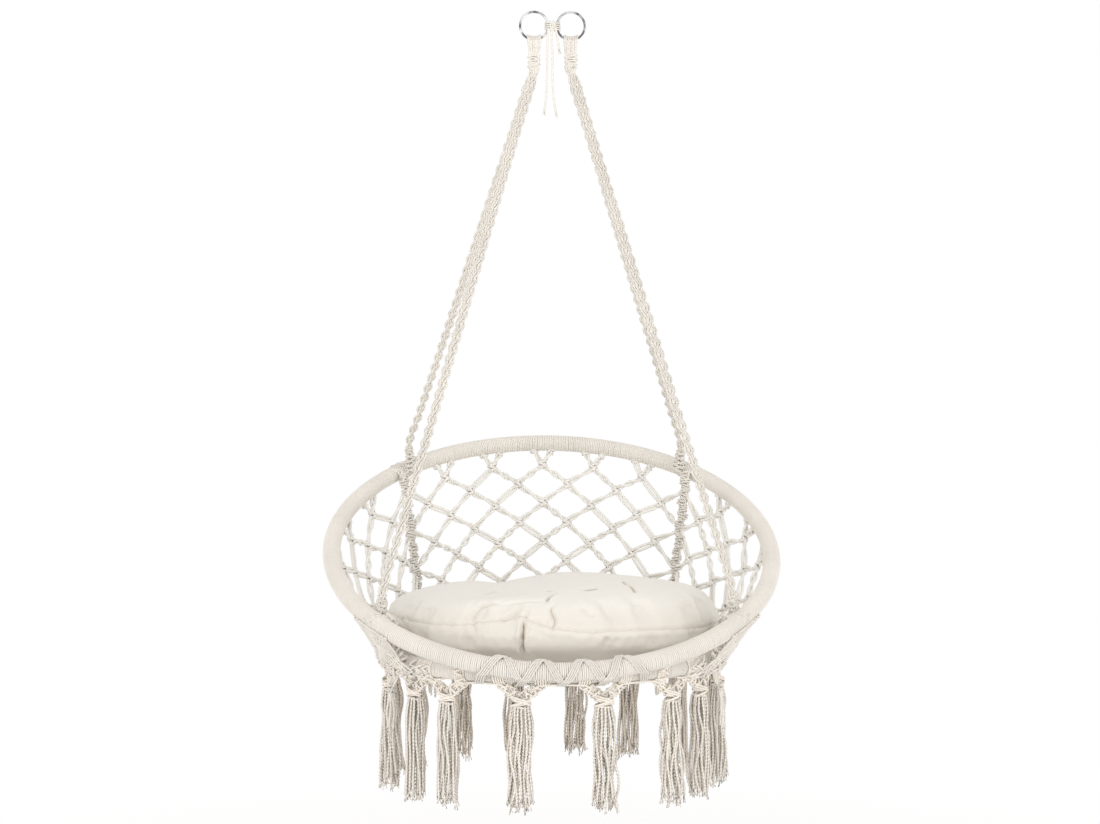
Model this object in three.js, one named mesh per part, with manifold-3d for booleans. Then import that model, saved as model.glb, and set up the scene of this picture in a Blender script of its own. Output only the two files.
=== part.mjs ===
// A knotted hanging chair. Two steel hoops wrapped in cotton cord are tied together at the front, a
// knotted net rises from the seat hoop to the tilted back hoop, and four ropes carry both hoops from
// two steel rings. Sixteen tassels hang from the seat hoop and a stuffed cushion lies in it.
// Millimetres, +Z up, the open front faces -Y. The origin is where the two rings bear on their hook.
import * as THREE from 'three';
import { mergeVertices } from 'three/addons/utils/BufferGeometryUtils.js';
import Module from 'manifold-3d';

const wasm = await Module();
wasm.setup();

// Clearances
const touchGap = 0.3;
const cutOverrun = 6;
const weldTolerance = 0.0001;
const leastDetail = 0.12;
const steepShare = 0.9;
const selfGapReach = 3;

// Hoops: centreline radii, the steel tube and the cotton whipping round it
const backHoopRadius = 385;
const seatHoopRadius = 285;
const backHoopTilt = 27.3;
const frontBarLift = 7.8;
const tubeDiameter = 24;
const tubeWall = 1.5;
const whippingThickness = 3;
const ventDiameter = 5;
const hoopSteps = 48;
const hoopSides = 8;
const boreSides = 4;
const leastArcDegrees = 0.5;

// Where the ropes are hitched, in degrees from the front
const backHoopHitches = { front: 52.5, rear: 135 };
const seatHoopHitches = { front: 67.5, rear: 135 };

// Hanging rings
const hangHeight = 1096;
const hangSetBack = 8;
const ringOuterDiameter = 53.5;
const ringWireDiameter = 4.6;
const ringSpacing = 64.5;
const ringSteps = 20;
const ringSides = 8;

// Rope eyes over the ring wire, their core and the collar wound on it
const eyeWidth = 25;
const eyeThickness = 5.5;
const eyeFootWidth = 8;
const eyeWaistShare = 0.8;
const eyeBearingShare = 0.76;
const eyeArchSteps = 8;
const eyeDrop = 24;
const coreWidth = 12;
const coreDepth = 21;
const coreLength = 24;
const coreSides = 12;
const coreOverlap = 1.5;
const collarCordDiameter = 3.2;
const collarPitch = 3.8;
const collarTurns = 4;
const collarSteps = 8;
const collarSides = 5;

// Suspension ropes
const ropeDiameter = 15.5;
const ropeTopDiameter = 10.2;
const ropeTaperLength = 24;
const ropeSides = 6;
const ropeSlack = 0.2;
const ropeApproachHeight = 58;
const turnSteps = 14;
const runSteps = 5;
const frontHitchPitch = 29;
const rearHitchPitch = 17.5;
const seatHitchPitch = 17.5;
const seatHitchTurns = 1.25;

// Tie between the rings and its free tails
const tieCordDiameter = 3.6;
const tiePitch = 4.1;
const tieTurns = 2.5;
const tieSlack = 0.35;
const tieSides = 5;
const tieEndSteps = 4;
const tailSides = 8;
const tailRoutes = {
  tie_tail_left: [[-7.6, -4.7, 0], [-8, -4.9, -8], [-8.6, -4.9, -20], [-9, -4.6, -34], [-9.2, -4, -48],
    [-9.4, -3.4, -62], [-9.6, -3, -76], [-9.8, -2.8, -90], [-10.2, -2.8, -104], [-11, -3, -118],
    [-12.4, -3.2, -131], [-14.2, -3.4, -144]],
  tie_tail_middle: [[-1.5, -4.7, 0], [-1.7, -4.9, -9], [-1.6, -4.9, -22], [-0.8, -4.5, -36], [-0.2, -4, -50],
    [0, -3.4, -64], [0, -3, -78], [0.2, -2.7, -92], [0.8, -2.6, -106], [2, -2.7, -120],
    [3.8, -2.9, -134], [6, -3.1, -147]],
  tie_tail_right: [[5.8, -4.7, 0], [6.8, -5, -8], [8, -5.1, -17], [9.6, -5, -26], [11.4, -4.7, -36]],
};

// Knotted net between the hoops
const netColumnAngle = 7.5;
const netRowPitch = 37;
const netFirstRow = 42;
const netLastRowClearance = 34;
const netCordWidth = 7.9;
const netCordThickness = 4.8;
const netKnotBulge = 2.6;
const underStrandShare = 0.86;

// Knotted seat net
const seatCordWidth = 8;
const seatCordThickness = 5;
const seatNetPitch = 58;

// Lacing round both front bars
const lacingCordDiameter = 6;
const lacingSlack = 0.3;
const lacingPitch = 64;
const lacingTurns = 4;
const lacingSides = 5;
const lacingStepsPerBar = 6;

// Tassels
const tasselPlaces = [13.5, 40, 56, 81, 102, 123.5, 147, 168.5];
const tasselLegSpread = 33;
const tasselLegWidth = 11;
const tasselKnotDrop = 24;
const tasselKnotDiameter = 22;
const tasselKnotHeight = 14;
const tasselNeckDiameter = 21;
const tasselSkirtDiameter = 34;
const tasselLength = 198;
const tasselShoulderDrop = 28;
const skirtShoulderShare = 0.92;
const tasselSides = 6;
const tasselLegSides = 4;

// Cushion
const cushionRadius = 290;
const cushionTop = 138;
const cushionSeamHeight = 71;
const cushionSeamDepth = 3;
const cushionSegments = 30;
const crownRows = 8;
const crownPower = 0.86;
const crownFirstShare = 0.35;
const lowerOutlineShares = [[0, 0], [0.36, 0], [0.7, 0.015], [0.79, 0.11], [0.835, 0.28], [0.862, 0.45],
  [0.93, 0.68], [0.985, 0.87], [1, 0.96]];

// Colours and finishes
const ivoryCotton = { color: 0xe6dfd2, roughness: 0.92, metalness: 0 };
const cushionCotton = { color: 0xede8dc, roughness: 0.9, metalness: 0 };
const chromedSteel = { color: 0xc9ccd0, roughness: 0.18, metalness: 1 };
const hoopSteel = { color: 0x8c8f92, roughness: 0.5, metalness: 1 };

// Sizes worked out from the ones above
const wrapRadius = tubeDiameter / 2 + touchGap + whippingThickness;
const ropeRadius = ropeDiameter / 2;
const wireRadius = ringWireDiameter / 2;
const ringRadius = ringOuterDiameter / 2 - wireRadius;
const frontBarAhead = Math.sqrt((2 * wrapRadius + touchGap) ** 2 - frontBarLift ** 2);
const tilt = THREE.MathUtils.degToRad(backHoopTilt);
const backHoopPlace = new THREE.Vector3(
  0,
  backHoopRadius * Math.cos(tilt) - seatHoopRadius - frontBarAhead,
  backHoopRadius * Math.sin(tilt) + frontBarLift,
);
const tieDrop = tiePitch * (Math.floor(tieTurns) - tieTurns / 2) + tieCordDiameter / 2;
const axleHeight = hangHeight - ringRadius;
const wireRise = ringRadius - Math.sqrt(ringRadius ** 2 - ((eyeWidth * eyeBearingShare) / 2) ** 2);
const eyeBore = wireRise + wireRadius + touchGap;
const coreTop = axleHeight - eyeDrop;
const coreBottom = coreTop - coreLength;

const chair = new THREE.Group();
const chairFrame = new THREE.Group();
chairFrame.position.set(0, -hangSetBack, -(hangHeight + ringRadius - wireRadius));
chair.add(chairFrame);
const backHoopFrame = new THREE.Group();
backHoopFrame.position.copy(backHoopPlace);
backHoopFrame.rotation.x = tilt;
backHoopFrame.updateMatrix();
chairFrame.add(backHoopFrame);

function vector(x, y, z) {
  return new THREE.Vector3(x, y, z);
}

function addPiece(name, geometry, finish, parent = chairFrame) {
  const material = new THREE.MeshStandardMaterial(finish);
  const mesh = new THREE.Mesh(geometry, material);
  mesh.name = name;
  parent.add(mesh);
  return mesh;
}

function signedVolume(geometry) {
  const at = geometry.attributes.position;
  const order = geometry.index.array;
  const [a, b, c] = [vector(0, 0, 0), vector(0, 0, 0), vector(0, 0, 0)];
  let total = 0;
  for (let i = 0; i < order.length; i += 3) {
    a.fromBufferAttribute(at, order[i]);
    b.fromBufferAttribute(at, order[i + 1]);
    c.fromBufferAttribute(at, order[i + 2]);
    total += a.dot(b.cross(c)) / 6;
  }
  return total;
}

function meshFrom(points, order) {
  const geometry = new THREE.BufferGeometry();
  const flat = points.flatMap((point) => [point.x, point.y, point.z]);
  geometry.setAttribute('position', new THREE.Float32BufferAttribute(flat, 3));
  geometry.setIndex(order);
  if (signedVolume(geometry) < 0) {
    geometry.setIndex(order.map((_, i) => order[i - (i % 3) + (2 - (i % 3))]));
  }
  return geometry;
}

// A skin over a row of outlines with equal numbers of points, capped unless it closes on itself
function loft(outlines, closed = false) {
  const sides = outlines[0].length;
  const rows = outlines.length;
  const order = [];
  for (let row = 0; row < (closed ? rows : rows - 1); row += 1) {
    const next = (row + 1) % rows;
    for (let side = 0; side < sides; side += 1) {
      const turn = (side + 1) % sides;
      const [a, b] = [row * sides + side, row * sides + turn];
      const [c, d] = [next * sides + side, next * sides + turn];
      order.push(a, b, d, a, d, c);
    }
  }
  if (!closed) {
    const end = (rows - 1) * sides;
    for (let side = 1; side < sides - 1; side += 1) {
      order.push(0, side + 1, side);
      order.push(end, end + side, end + side + 1);
    }
  }
  return meshFrom(outlines.flat(), order);
}

function asSolid(geometry) {
  const plain = new THREE.BufferGeometry();
  plain.setAttribute('position', geometry.attributes.position);
  plain.setIndex(geometry.index);
  const merged = mergeVertices(plain, weldTolerance);
  const mesh = new wasm.Mesh({
    numProp: 3,
    vertProperties: new Float32Array(merged.attributes.position.array),
    triVerts: new Uint32Array(merged.index.array),
  });
  return new wasm.Manifold(mesh);
}

function asGeometry(solid) {
  const mesh = solid.simplify(leastDetail).getMesh();
  const geometry = new THREE.BufferGeometry();
  geometry.setAttribute('position', new THREE.BufferAttribute(new Float32Array(mesh.vertProperties), 3));
  geometry.setIndex(new THREE.BufferAttribute(new Uint32Array(mesh.triVerts), 1));
  return geometry;
}

function largestPart(solid) {
  const parts = solid.decompose();
  return parts.reduce((best, part) => (part.volume() > best.volume() ? part : best));
}

// Points round a hoop lie at a number of degrees from its front
function hoopPoint(radius, degrees) {
  const angle = THREE.MathUtils.degToRad(degrees);
  return vector(radius * Math.sin(angle), -radius * Math.cos(angle), 0);
}

function onBackHoop(degrees, radius = backHoopRadius) {
  return hoopPoint(radius, degrees).applyMatrix4(backHoopFrame.matrix);
}

function backHoopDirection(direction) {
  return direction.clone().transformDirection(backHoopFrame.matrix);
}

function hoopOutline(radius, degrees, sectionRadius, sides) {
  const centre = hoopPoint(radius, degrees);
  const outward = centre.clone().normalize();
  return Array.from({ length: sides }, (_, side) => {
    const angle = ((side + 0.5) / sides) * 2 * Math.PI;
    const point = centre.clone().addScaledVector(outward, sectionRadius * Math.cos(angle));
    point.z += sectionRadius * Math.sin(angle);
    return point;
  });
}

function wholeHoop(radius, sectionRadius, sides = hoopSides) {
  const outlines = [];
  for (let step = 0; step < hoopSteps; step += 1) {
    outlines.push(hoopOutline(radius, (step * 360) / hoopSteps, sectionRadius, sides));
  }
  return loft(outlines, true);
}

function hoopArc(radius, from, to, sectionRadius) {
  const stepAngle = 360 / hoopSteps;
  const angles = [from];
  for (let step = Math.floor(from / stepAngle) + 1; step * stepAngle < to; step += 1) {
    if (step * stepAngle - from > leastArcDegrees) {
      angles.push(step * stepAngle);
    }
  }
  angles.push(to);
  return loft(angles.map((degrees) => hoopOutline(radius, degrees, sectionRadius, hoopSides)));
}

// A steel tube hoop, open to its hollow at one small vent on the inner side
function tubeHoop(radius) {
  const bore = (tubeDiameter / 2 - tubeWall) * Math.cos(Math.PI / hoopSides);
  const vent = new THREE.CylinderGeometry(ventDiameter / 2, ventDiameter / 2, tubeDiameter / 2, boreSides);
  vent.translate(0, -radius + (tubeDiameter - cutOverrun) / 2, 0);
  return asGeometry(asSolid(wholeHoop(radius, tubeDiameter / 2))
    .subtract(asSolid(wholeHoop(radius, bore, boreSides)))
    .subtract(asSolid(vent)));
}

// Cotton whipping in one length between two hitches
function whipping(radius, from, to) {
  const endGap = THREE.MathUtils.radToDeg(touchGap / radius);
  const overrun = THREE.MathUtils.radToDeg(cutOverrun / radius);
  const boreRadius = tubeDiameter / 2 + touchGap / Math.cos(Math.PI / hoopSides);
  const outer = hoopArc(radius, from + endGap / 2, to - endGap / 2, wrapRadius);
  const bore = hoopArc(radius, from - overrun, to + overrun, boreRadius);
  return asGeometry(asSolid(outer).subtract(asSolid(bore)));
}

function hoopNodes(name, radius, hitches, parent) {
  addPiece(`${name}_tube`, tubeHoop(radius), hoopSteel, parent);
  const { front, rear } = hitches;
  addPiece(`${name}_whipping_front`, whipping(radius, -front, front), ivoryCotton, parent);
  addPiece(`${name}_whipping_right`, whipping(radius, front, rear), ivoryCotton, parent);
  addPiece(`${name}_whipping_rear`, whipping(radius, rear, 360 - rear), ivoryCotton, parent);
  addPiece(`${name}_whipping_left`, whipping(radius, 360 - rear, 360 - front), ivoryCotton, parent);
}

// A round tube along points, with its section carried from point to point without twist
function tube(points, radii, sides) {
  const radiusAt = (i) => (Array.isArray(radii) ? radii[i] : radii);
  let across = null;
  const outlines = points.map((point, i) => {
    const ahead = points[Math.min(i + 1, points.length - 1)];
    const behind = points[Math.max(i - 1, 0)];
    const along = ahead.clone().sub(behind).normalize();
    if (!across) {
      across = Math.abs(along.z) > steepShare ? vector(1, 0, 0) : vector(0, 0, 1);
    }
    across.addScaledVector(along, -across.dot(along)).normalize();
    const up = along.clone().cross(across);
    return Array.from({ length: sides }, (_, side) => {
      const angle = ((side + 0.5) / sides) * 2 * Math.PI;
      return point.clone()
        .addScaledVector(across, radiusAt(i) * Math.cos(angle))
        .addScaledVector(up, radiusAt(i) * Math.sin(angle));
    });
  });
  return loft(outlines);
}

function flattenedUnit(direction, axis) {
  return direction.clone().addScaledVector(axis, -direction.dot(axis)).normalize();
}

// Points of a rope that comes in along one direction, winds round a bar and leaves along another
function roundTurns(centre, barDirection, comingIn, goingOut, entrySide, turns, pitch) {
  const radius = (wrapRadius + touchGap + ropeRadius) / Math.cos(Math.PI / turnSteps) + ropeSlack;
  const axis = barDirection.clone().normalize();
  if (comingIn.clone().cross(axis).dot(entrySide) < 0) {
    axis.negate();
  }
  const entry = flattenedUnit(comingIn, axis).cross(axis);
  const exit = flattenedUnit(goingOut, axis).cross(axis);
  const quarter = axis.clone().cross(entry);
  const extra = Math.atan2(exit.dot(quarter), exit.dot(entry));
  const total = extra + 2 * Math.PI * turns;
  const lean = comingIn.dot(axis) > 0 ? 1 : -1;
  const advance = (lean * pitch * total) / (2 * Math.PI);
  const steps = Math.round((turnSteps * total) / (2 * Math.PI));
  return Array.from({ length: steps + 1 }, (_, step) => {
    const share = step / steps;
    return centre.clone()
      .addScaledVector(axis, advance * (share - 0.5))
      .addScaledVector(entry, radius * Math.cos(total * share))
      .addScaledVector(quarter, radius * Math.sin(total * share));
  });
}

function straightRun(from, to, steps) {
  return Array.from({ length: steps - 1 }, (_, i) => from.clone().lerp(to, (i + 1) / steps));
}

// One unbroken rope: ring core, round turn on the back hoop, round turn and a quarter on the seat hoop
function ropeRoute(side, place) {
  const facing = place === 'front' ? -1 : 1;
  const top = vector((side * ringSpacing) / 2, hangSetBack + (facing * (coreDepth / 2)) / 2, coreBottom - touchGap);
  const backAngle = side * backHoopHitches[place];
  const seatAngle = side * seatHoopHitches[place];
  const backCentre = onBackHoop(backAngle);
  const seatCentre = hoopPoint(seatHoopRadius, seatAngle);
  const down = backCentre.clone().sub(top).normalize();
  const onward = seatCentre.clone().sub(backCentre).normalize();
  const inward = onBackHoop(backAngle, 0).sub(backCentre).normalize();
  const outward = seatCentre.clone().normalize();
  const upperPitch = place === 'front' ? frontHitchPitch : rearHitchPitch;
  const backBar = backHoopDirection(hoopPoint(1, backAngle + 90));
  const seatBar = hoopPoint(1, seatAngle + 90);
  const above = backCentre.clone().addScaledVector(down, -ropeApproachHeight);
  const across = flattenedUnit(down, backBar).cross(backBar);
  across.multiplyScalar(Math.sign(across.dot(inward)));
  const slant = Math.asin((wrapRadius + ropeRadius) / ropeApproachHeight);
  const comingIn = down.clone().addScaledVector(across, Math.tan(slant));
  const backTurn = roundTurns(backCentre, backBar, comingIn, onward, inward, 1, upperPitch);
  const seatTurn = roundTurns(seatCentre, seatBar, onward, onward, outward, seatHitchTurns, seatHitchPitch);
  const stub = top.clone();
  stub.z -= ropeTopDiameter / 2;
  const bend = above.clone().sub(stub);
  const flare = stub.clone().addScaledVector(bend, ropeTaperLength / bend.length());
  const upper = [top, stub, flare, ...straightRun(flare, above, runSteps), above];
  const lower = straightRun(backTurn.at(-1), seatTurn[0], runSteps);
  const points = [...upper, ...backTurn, ...lower, ...seatTurn];
  const radii = points.map((_, i) => (i < 2 ? ropeTopDiameter / 2 : ropeRadius));
  return { points, radii, lowerFrom: backTurn.at(-1), lowerTo: seatTurn[0] };
}

function ropeTube(route, growth = 0) {
  return tube(route.points, route.radii.map((radius) => radius + growth), ropeSides);
}

// Least gap of a wound tube to itself, measured between points that lie further apart along it
function leastGap(points, diameter) {
  const along = [0];
  for (let i = 1; i < points.length; i += 1) {
    along.push(along[i - 1] + points[i].distanceTo(points[i - 1]));
  }
  let least = Infinity;
  for (let i = 0; i < points.length; i += 1) {
    for (let j = i + 1; j < points.length; j += 1) {
      if (along[j] - along[i] > selfGapReach * diameter) {
        least = Math.min(least, points[i].distanceTo(points[j]) - diameter);
      }
    }
  }
  return least;
}

function report(name, points, diameter) {
  console.log(`${name}: least gap to itself ${leastGap(points, diameter).toFixed(2)} mm`);
}

// Hanging rings stand side by side across the chair
function hangingRing() {
  const outlines = [];
  for (let step = 0; step < ringSteps; step += 1) {
    const angle = (step / ringSteps) * 2 * Math.PI;
    const outward = vector(Math.cos(angle), 0, Math.sin(angle));
    outlines.push(Array.from({ length: ringSides }, (_, side) => {
      const turn = ((side + 0.5) / ringSides) * 2 * Math.PI;
      const point = outward.clone().multiplyScalar(ringRadius + wireRadius * Math.cos(turn));
      point.y += wireRadius * Math.sin(turn);
      return point;
    }));
  }
  return loft(outlines, true);
}

function flatOutline(centre, wide, deep, halfWidth, halfDepth) {
  return Array.from({ length: hoopSides }, (_, side) => {
    const angle = ((side + 0.5) / hoopSides) * 2 * Math.PI;
    return centre.clone()
      .addScaledVector(wide, halfWidth * Math.cos(angle))
      .addScaledVector(deep, halfDepth * Math.sin(angle));
  });
}

// The rope's cords fan over the ring wire and gather into one core below it
function eyeWithCore() {
  const middle = eyeBore + eyeThickness / 2;
  const foot = coreDepth / 2 - eyeThickness / 2;
  const wide = vector(1, 0, 0);
  const leg = (side) => {
    const outward = vector(0, side, 0);
    const waist = vector(0, side * middle, -eyeDrop / 2);
    const end = vector(0, side * foot, -eyeDrop - coreOverlap);
    return [
      flatOutline(waist, wide, outward, (eyeWidth * eyeWaistShare) / 2, eyeThickness / 2),
      flatOutline(end, wide, outward, eyeFootWidth / 2, eyeThickness / 2),
    ];
  };
  const arch = Array.from({ length: eyeArchSteps + 1 }, (_, step) => {
    const angle = Math.PI * (1 - step / eyeArchSteps);
    const outward = vector(0, Math.cos(angle), Math.sin(angle));
    return flatOutline(outward.clone().multiplyScalar(middle), wide, outward, eyeWidth / 2, eyeThickness / 2);
  });
  const strap = loft([...leg(-1).reverse(), ...arch, ...leg(1)]);
  const core = loft([
    ellipseOutline(coreWidth / 2, coreDepth / 2, -eyeDrop, coreSides),
    ellipseOutline(coreWidth / 2, coreDepth / 2, -eyeDrop - coreLength, coreSides),
  ]);
  return asGeometry(asSolid(strap).add(asSolid(core)));
}

function ellipseOutline(halfWidth, halfDepth, height, sides) {
  return Array.from({ length: sides }, (_, side) => {
    const angle = ((side + 0.5) / sides) * 2 * Math.PI;
    return vector(halfWidth * Math.cos(angle), halfDepth * Math.sin(angle), height);
  });
}

function collarPoints() {
  const clear = touchGap + collarCordDiameter / 2;
  const spread = 1 / Math.cos(Math.PI / collarSteps);
  const start = -eyeDrop - (coreLength - collarPitch * collarTurns) / 2;
  const steps = collarTurns * collarSteps;
  return Array.from({ length: steps + 1 }, (_, step) => {
    const angle = (step / collarSteps) * 2 * Math.PI;
    return vector(
      (coreWidth / 2 + clear) * spread * Math.cos(angle),
      (coreDepth / 2 + clear) * spread * Math.sin(angle),
      start - (collarPitch * step) / collarSteps,
    );
  });
}

// The tie winds round the two facing ring wires
function tiePoints() {
  const reach = ringSpacing / 2 - ringRadius + tieSlack;
  const bend = wireRadius + touchGap + tieSlack + tieCordDiameter / 2;
  const perTurn = 2 * (tieEndSteps + 1);
  const steps = Math.round(tieTurns * perTurn);
  const top = (tiePitch * tieTurns) / 2;
  return Array.from({ length: steps + 1 }, (_, step) => {
    const place = step % perTurn;
    const rightEnd = place <= tieEndSteps;
    const swing = (rightEnd ? place : place - tieEndSteps - 1) / tieEndSteps;
    const angle = Math.PI * (swing - 0.5) + (rightEnd ? 0 : Math.PI);
    return vector(
      (rightEnd ? reach : -reach) + bend * Math.cos(angle),
      bend * Math.sin(angle),
      top - (tiePitch * step) / perTurn,
    );
  });
}

const ropes = {};
for (const [sideName, side] of [['left', -1], ['right', 1]]) {
  for (const place of ['front', 'rear']) {
    ropes[`${sideName}_${place}`] = ropeRoute(side, place);
  }
}

const cutGrowth = touchGap / Math.cos(Math.PI / ropeSides);
const ropeCutters = Object.values(ropes).map((route) => asSolid(ropeTube(route, cutGrowth)));
const hoopGrowth = touchGap / Math.cos(Math.PI / hoopSides);
const seatHoopCutter = asSolid(wholeHoop(seatHoopRadius, wrapRadius + hoopGrowth));
const backHoopCutter = asSolid(wholeHoop(backHoopRadius, wrapRadius + hoopGrowth)
  .applyMatrix4(backHoopFrame.matrix));

// Net columns are numbered from the middle of the back, and meet the ropes at their hitches
const columnAtRearRope = Math.round((180 - backHoopHitches.rear) / netColumnAngle);
const columnAtFrontRope = Math.round((180 - backHoopHitches.front) / netColumnAngle);

function seatAngleOfColumn(column) {
  const rear = 180 - seatHoopHitches.rear;
  const front = 180 - seatHoopHitches.front;
  const size = Math.abs(column);
  if (size <= columnAtRearRope) {
    return (column * rear) / columnAtRearRope;
  }
  const share = (size - columnAtRearRope) / (columnAtFrontRope - columnAtRearRope);
  return Math.sign(column) * (rear + share * (front - rear));
}

function columnEnds(column) {
  const sideName = column < 0 ? 'left' : 'right';
  if (Math.abs(column) === columnAtRearRope) {
    const route = ropes[`${sideName}_rear`];
    return [route.lowerFrom, route.lowerTo];
  }
  if (Math.abs(column) === columnAtFrontRope) {
    const route = ropes[`${sideName}_front`];
    return [route.lowerFrom, route.lowerTo];
  }
  const top = onBackHoop(180 - column * netColumnAngle);
  return [top, hoopPoint(seatHoopRadius, 180 - seatAngleOfColumn(column))];
}

function netPoint(column, distance) {
  const [top, bottom] = columnEnds(column);
  return top.clone().lerp(bottom, Math.min(1, distance / top.distanceTo(bottom)));
}

function rowDistance(row) {
  return netFirstRow + (row - 1) * netRowPitch;
}

function rowInSpan(column, row) {
  const [top, bottom] = columnEnds(column);
  return row >= 1 && rowDistance(row) < top.distanceTo(bottom) - netLastRowClearance;
}

// A net of crossing strands. Those of the first lay swell where they cross, as the knots do, and
// those of the second lay run a little thinner through the knots.
function knottedNet(knots, width, thickness, frameOf, endOf) {
  const known = new Set(knots.map(([column, row]) => `${column},${row}`));
  const strands = [];
  const outline = (centre, along, face, depth) => {
    const sideways = along.clone().cross(face).normalize().multiplyScalar(width / 2);
    const half = face.clone().multiplyScalar(depth / 2);
    return [[-1, -1], [1, -1], [1, 1], [-1, 1]].map(([across, out]) => centre.clone()
      .addScaledVector(sideways, across)
      .addScaledVector(half, out));
  };
  for (const lay of [1, -1]) {
    const thin = lay > 0 ? thickness : thickness * underStrandShare;
    const thick = lay > 0 ? thickness + 2 * netKnotBulge : thin;
    for (const [firstColumn, firstRow] of knots) {
      if (known.has(`${firstColumn - lay},${firstRow - 1}`)) {
        continue;
      }
      const first = frameOf(firstColumn, firstRow);
      const stops = [{ centre: endOf(firstColumn, firstRow, -lay, -1), face: first.face, depth: thin }];
      let [column, row] = [firstColumn, firstRow];
      for (; known.has(`${column},${row}`); column += lay, row += 1) {
        stops.push({ ...frameOf(column, row), depth: thick });
      }
      const last = stops.at(-1);
      stops.push({ centre: endOf(column - lay, row - 1, lay, 1), face: last.face, depth: thin });
      const outlines = stops.flatMap(({ centre, face, depth }, i) => {
        const ahead = stops[Math.min(i + 1, stops.length - 1)];
        const behind = stops[Math.max(i - 1, 0)];
        const along = ahead.centre.clone().sub(behind.centre);
        const loops = [outline(centre, along, face, depth)];
        if (lay > 0 && i > 0 && i < stops.length - 2) {
          const middle = centre.clone().lerp(ahead.centre, 0.5);
          loops.push(outline(middle, ahead.centre.clone().sub(centre), face, thin));
        }
        return loops;
      });
      strands.push(asSolid(loft(outlines)));
    }
  }
  return wasm.Manifold.union(strands);
}

function cutClear(whole, cutters) {
  const cut = cutters.reduce((solid, cutter) => solid.subtract(cutter), whole);
  return asGeometry(largestPart(asSolid(asGeometry(cut))));
}

// A panel of the back net between two ropes
function netPanel(from, to) {
  const knots = [];
  for (let column = from + 1; column < to; column += 1) {
    for (let row = 1; rowInSpan(column, row); row += 1) {
      if ((column + row) % 2 !== 0) {
        knots.push([column, row]);
      }
    }
  }
  const frameOf = (column, row) => {
    const distance = rowDistance(row);
    const [top, bottom] = columnEnds(column);
    const across = netPoint(column + 0.5, distance).sub(netPoint(column - 0.5, distance));
    const face = across.cross(bottom.clone().sub(top)).normalize();
    return { centre: netPoint(column, distance), face };
  };
  const endOf = (column, row, stepAcross, stepDown) => {
    const beside = column + stepAcross;
    if ((beside === from || beside === to) && rowInSpan(beside, row + stepDown)) {
      return netPoint(beside, rowDistance(row + stepDown));
    }
    const [top, bottom] = columnEnds(column + stepAcross / 2);
    return stepDown > 0 ? bottom : top;
  };
  const net = knottedNet(knots, netCordWidth, netCordThickness, frameOf, endOf);
  return cutClear(net, [backHoopCutter, seatHoopCutter, ...ropeCutters]);
}

// Lacing: down the front of the outer bar, under both, up inside the inner bar and over again
function lacingPoints() {
  const arcs = lacingStepsPerBar - 1;
  const cordRadius = lacingCordDiameter / 2;
  const radius = (wrapRadius + touchGap + cordRadius) / Math.cos(Math.PI / (2 * arcs)) + lacingSlack;
  const perTurn = 2 * lacingStepsPerBar;
  const steps = lacingTurns * perTurn;
  return Array.from({ length: steps }, (_, step) => {
    const across = lacingPitch * ((step + 0.5) / perTurn - lacingTurns / 2);
    const place = (step + lacingStepsPerBar) % perTurn;
    const outerDegrees = THREE.MathUtils.radToDeg(Math.asin(across / backHoopRadius));
    const innerDegrees = THREE.MathUtils.radToDeg(Math.asin(across / seatHoopRadius));
    const outer = onBackHoop(outerDegrees);
    const inner = hoopPoint(seatHoopRadius, innerDegrees);
    const apart = outer.clone().sub(inner);
    const onOuterBar = place < lacingStepsPerBar;
    const bar = onOuterBar
      ? backHoopDirection(hoopPoint(1, outerDegrees + 90))
      : hoopPoint(1, innerDegrees + 90);
    const away = flattenedUnit(apart, bar);
    const above = away.clone().cross(bar);
    above.multiplyScalar(Math.sign(above.z));
    const turned = (onOuterBar ? place : place - lacingStepsPerBar) / arcs;
    const angle = Math.PI * (0.5 - turned);
    const side = onOuterBar ? 1 : -1;
    return (onOuterBar ? outer : inner)
      .addScaledVector(away, side * radius * Math.cos(angle))
      .addScaledVector(above, side * radius * Math.sin(angle));
  });
}

// The seat net lies flat inside the seat hoop
function seatNet(lacingCutter) {
  const reach = seatHoopRadius - wrapRadius;
  const most = Math.ceil(reach / seatNetPitch);
  const place = (column, row) => vector(column * seatNetPitch, -row * seatNetPitch, 0);
  const knots = [];
  for (let column = -most; column <= most; column += 1) {
    for (let row = -most; row <= most; row += 1) {
      if ((column + row) % 2 === 0 && place(column, row).length() < reach) {
        knots.push([column, row]);
      }
    }
  }
  const frameOf = (column, row) => ({ centre: place(column, row), face: vector(0, 0, 1) });
  const endOf = (column, row, stepAcross, stepDown) => {
    const start = place(column, row);
    const direction = place(stepAcross, stepDown).normalize();
    const along = start.dot(direction);
    const run = Math.sqrt(along ** 2 + seatHoopRadius ** 2 - start.lengthSq()) - along;
    return start.addScaledVector(direction, run);
  };
  const net = knottedNet(knots, seatCordWidth, seatCordThickness, frameOf, endOf);
  return cutClear(net, [seatHoopCutter, lacingCutter, ...ropeCutters]);
}

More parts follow.
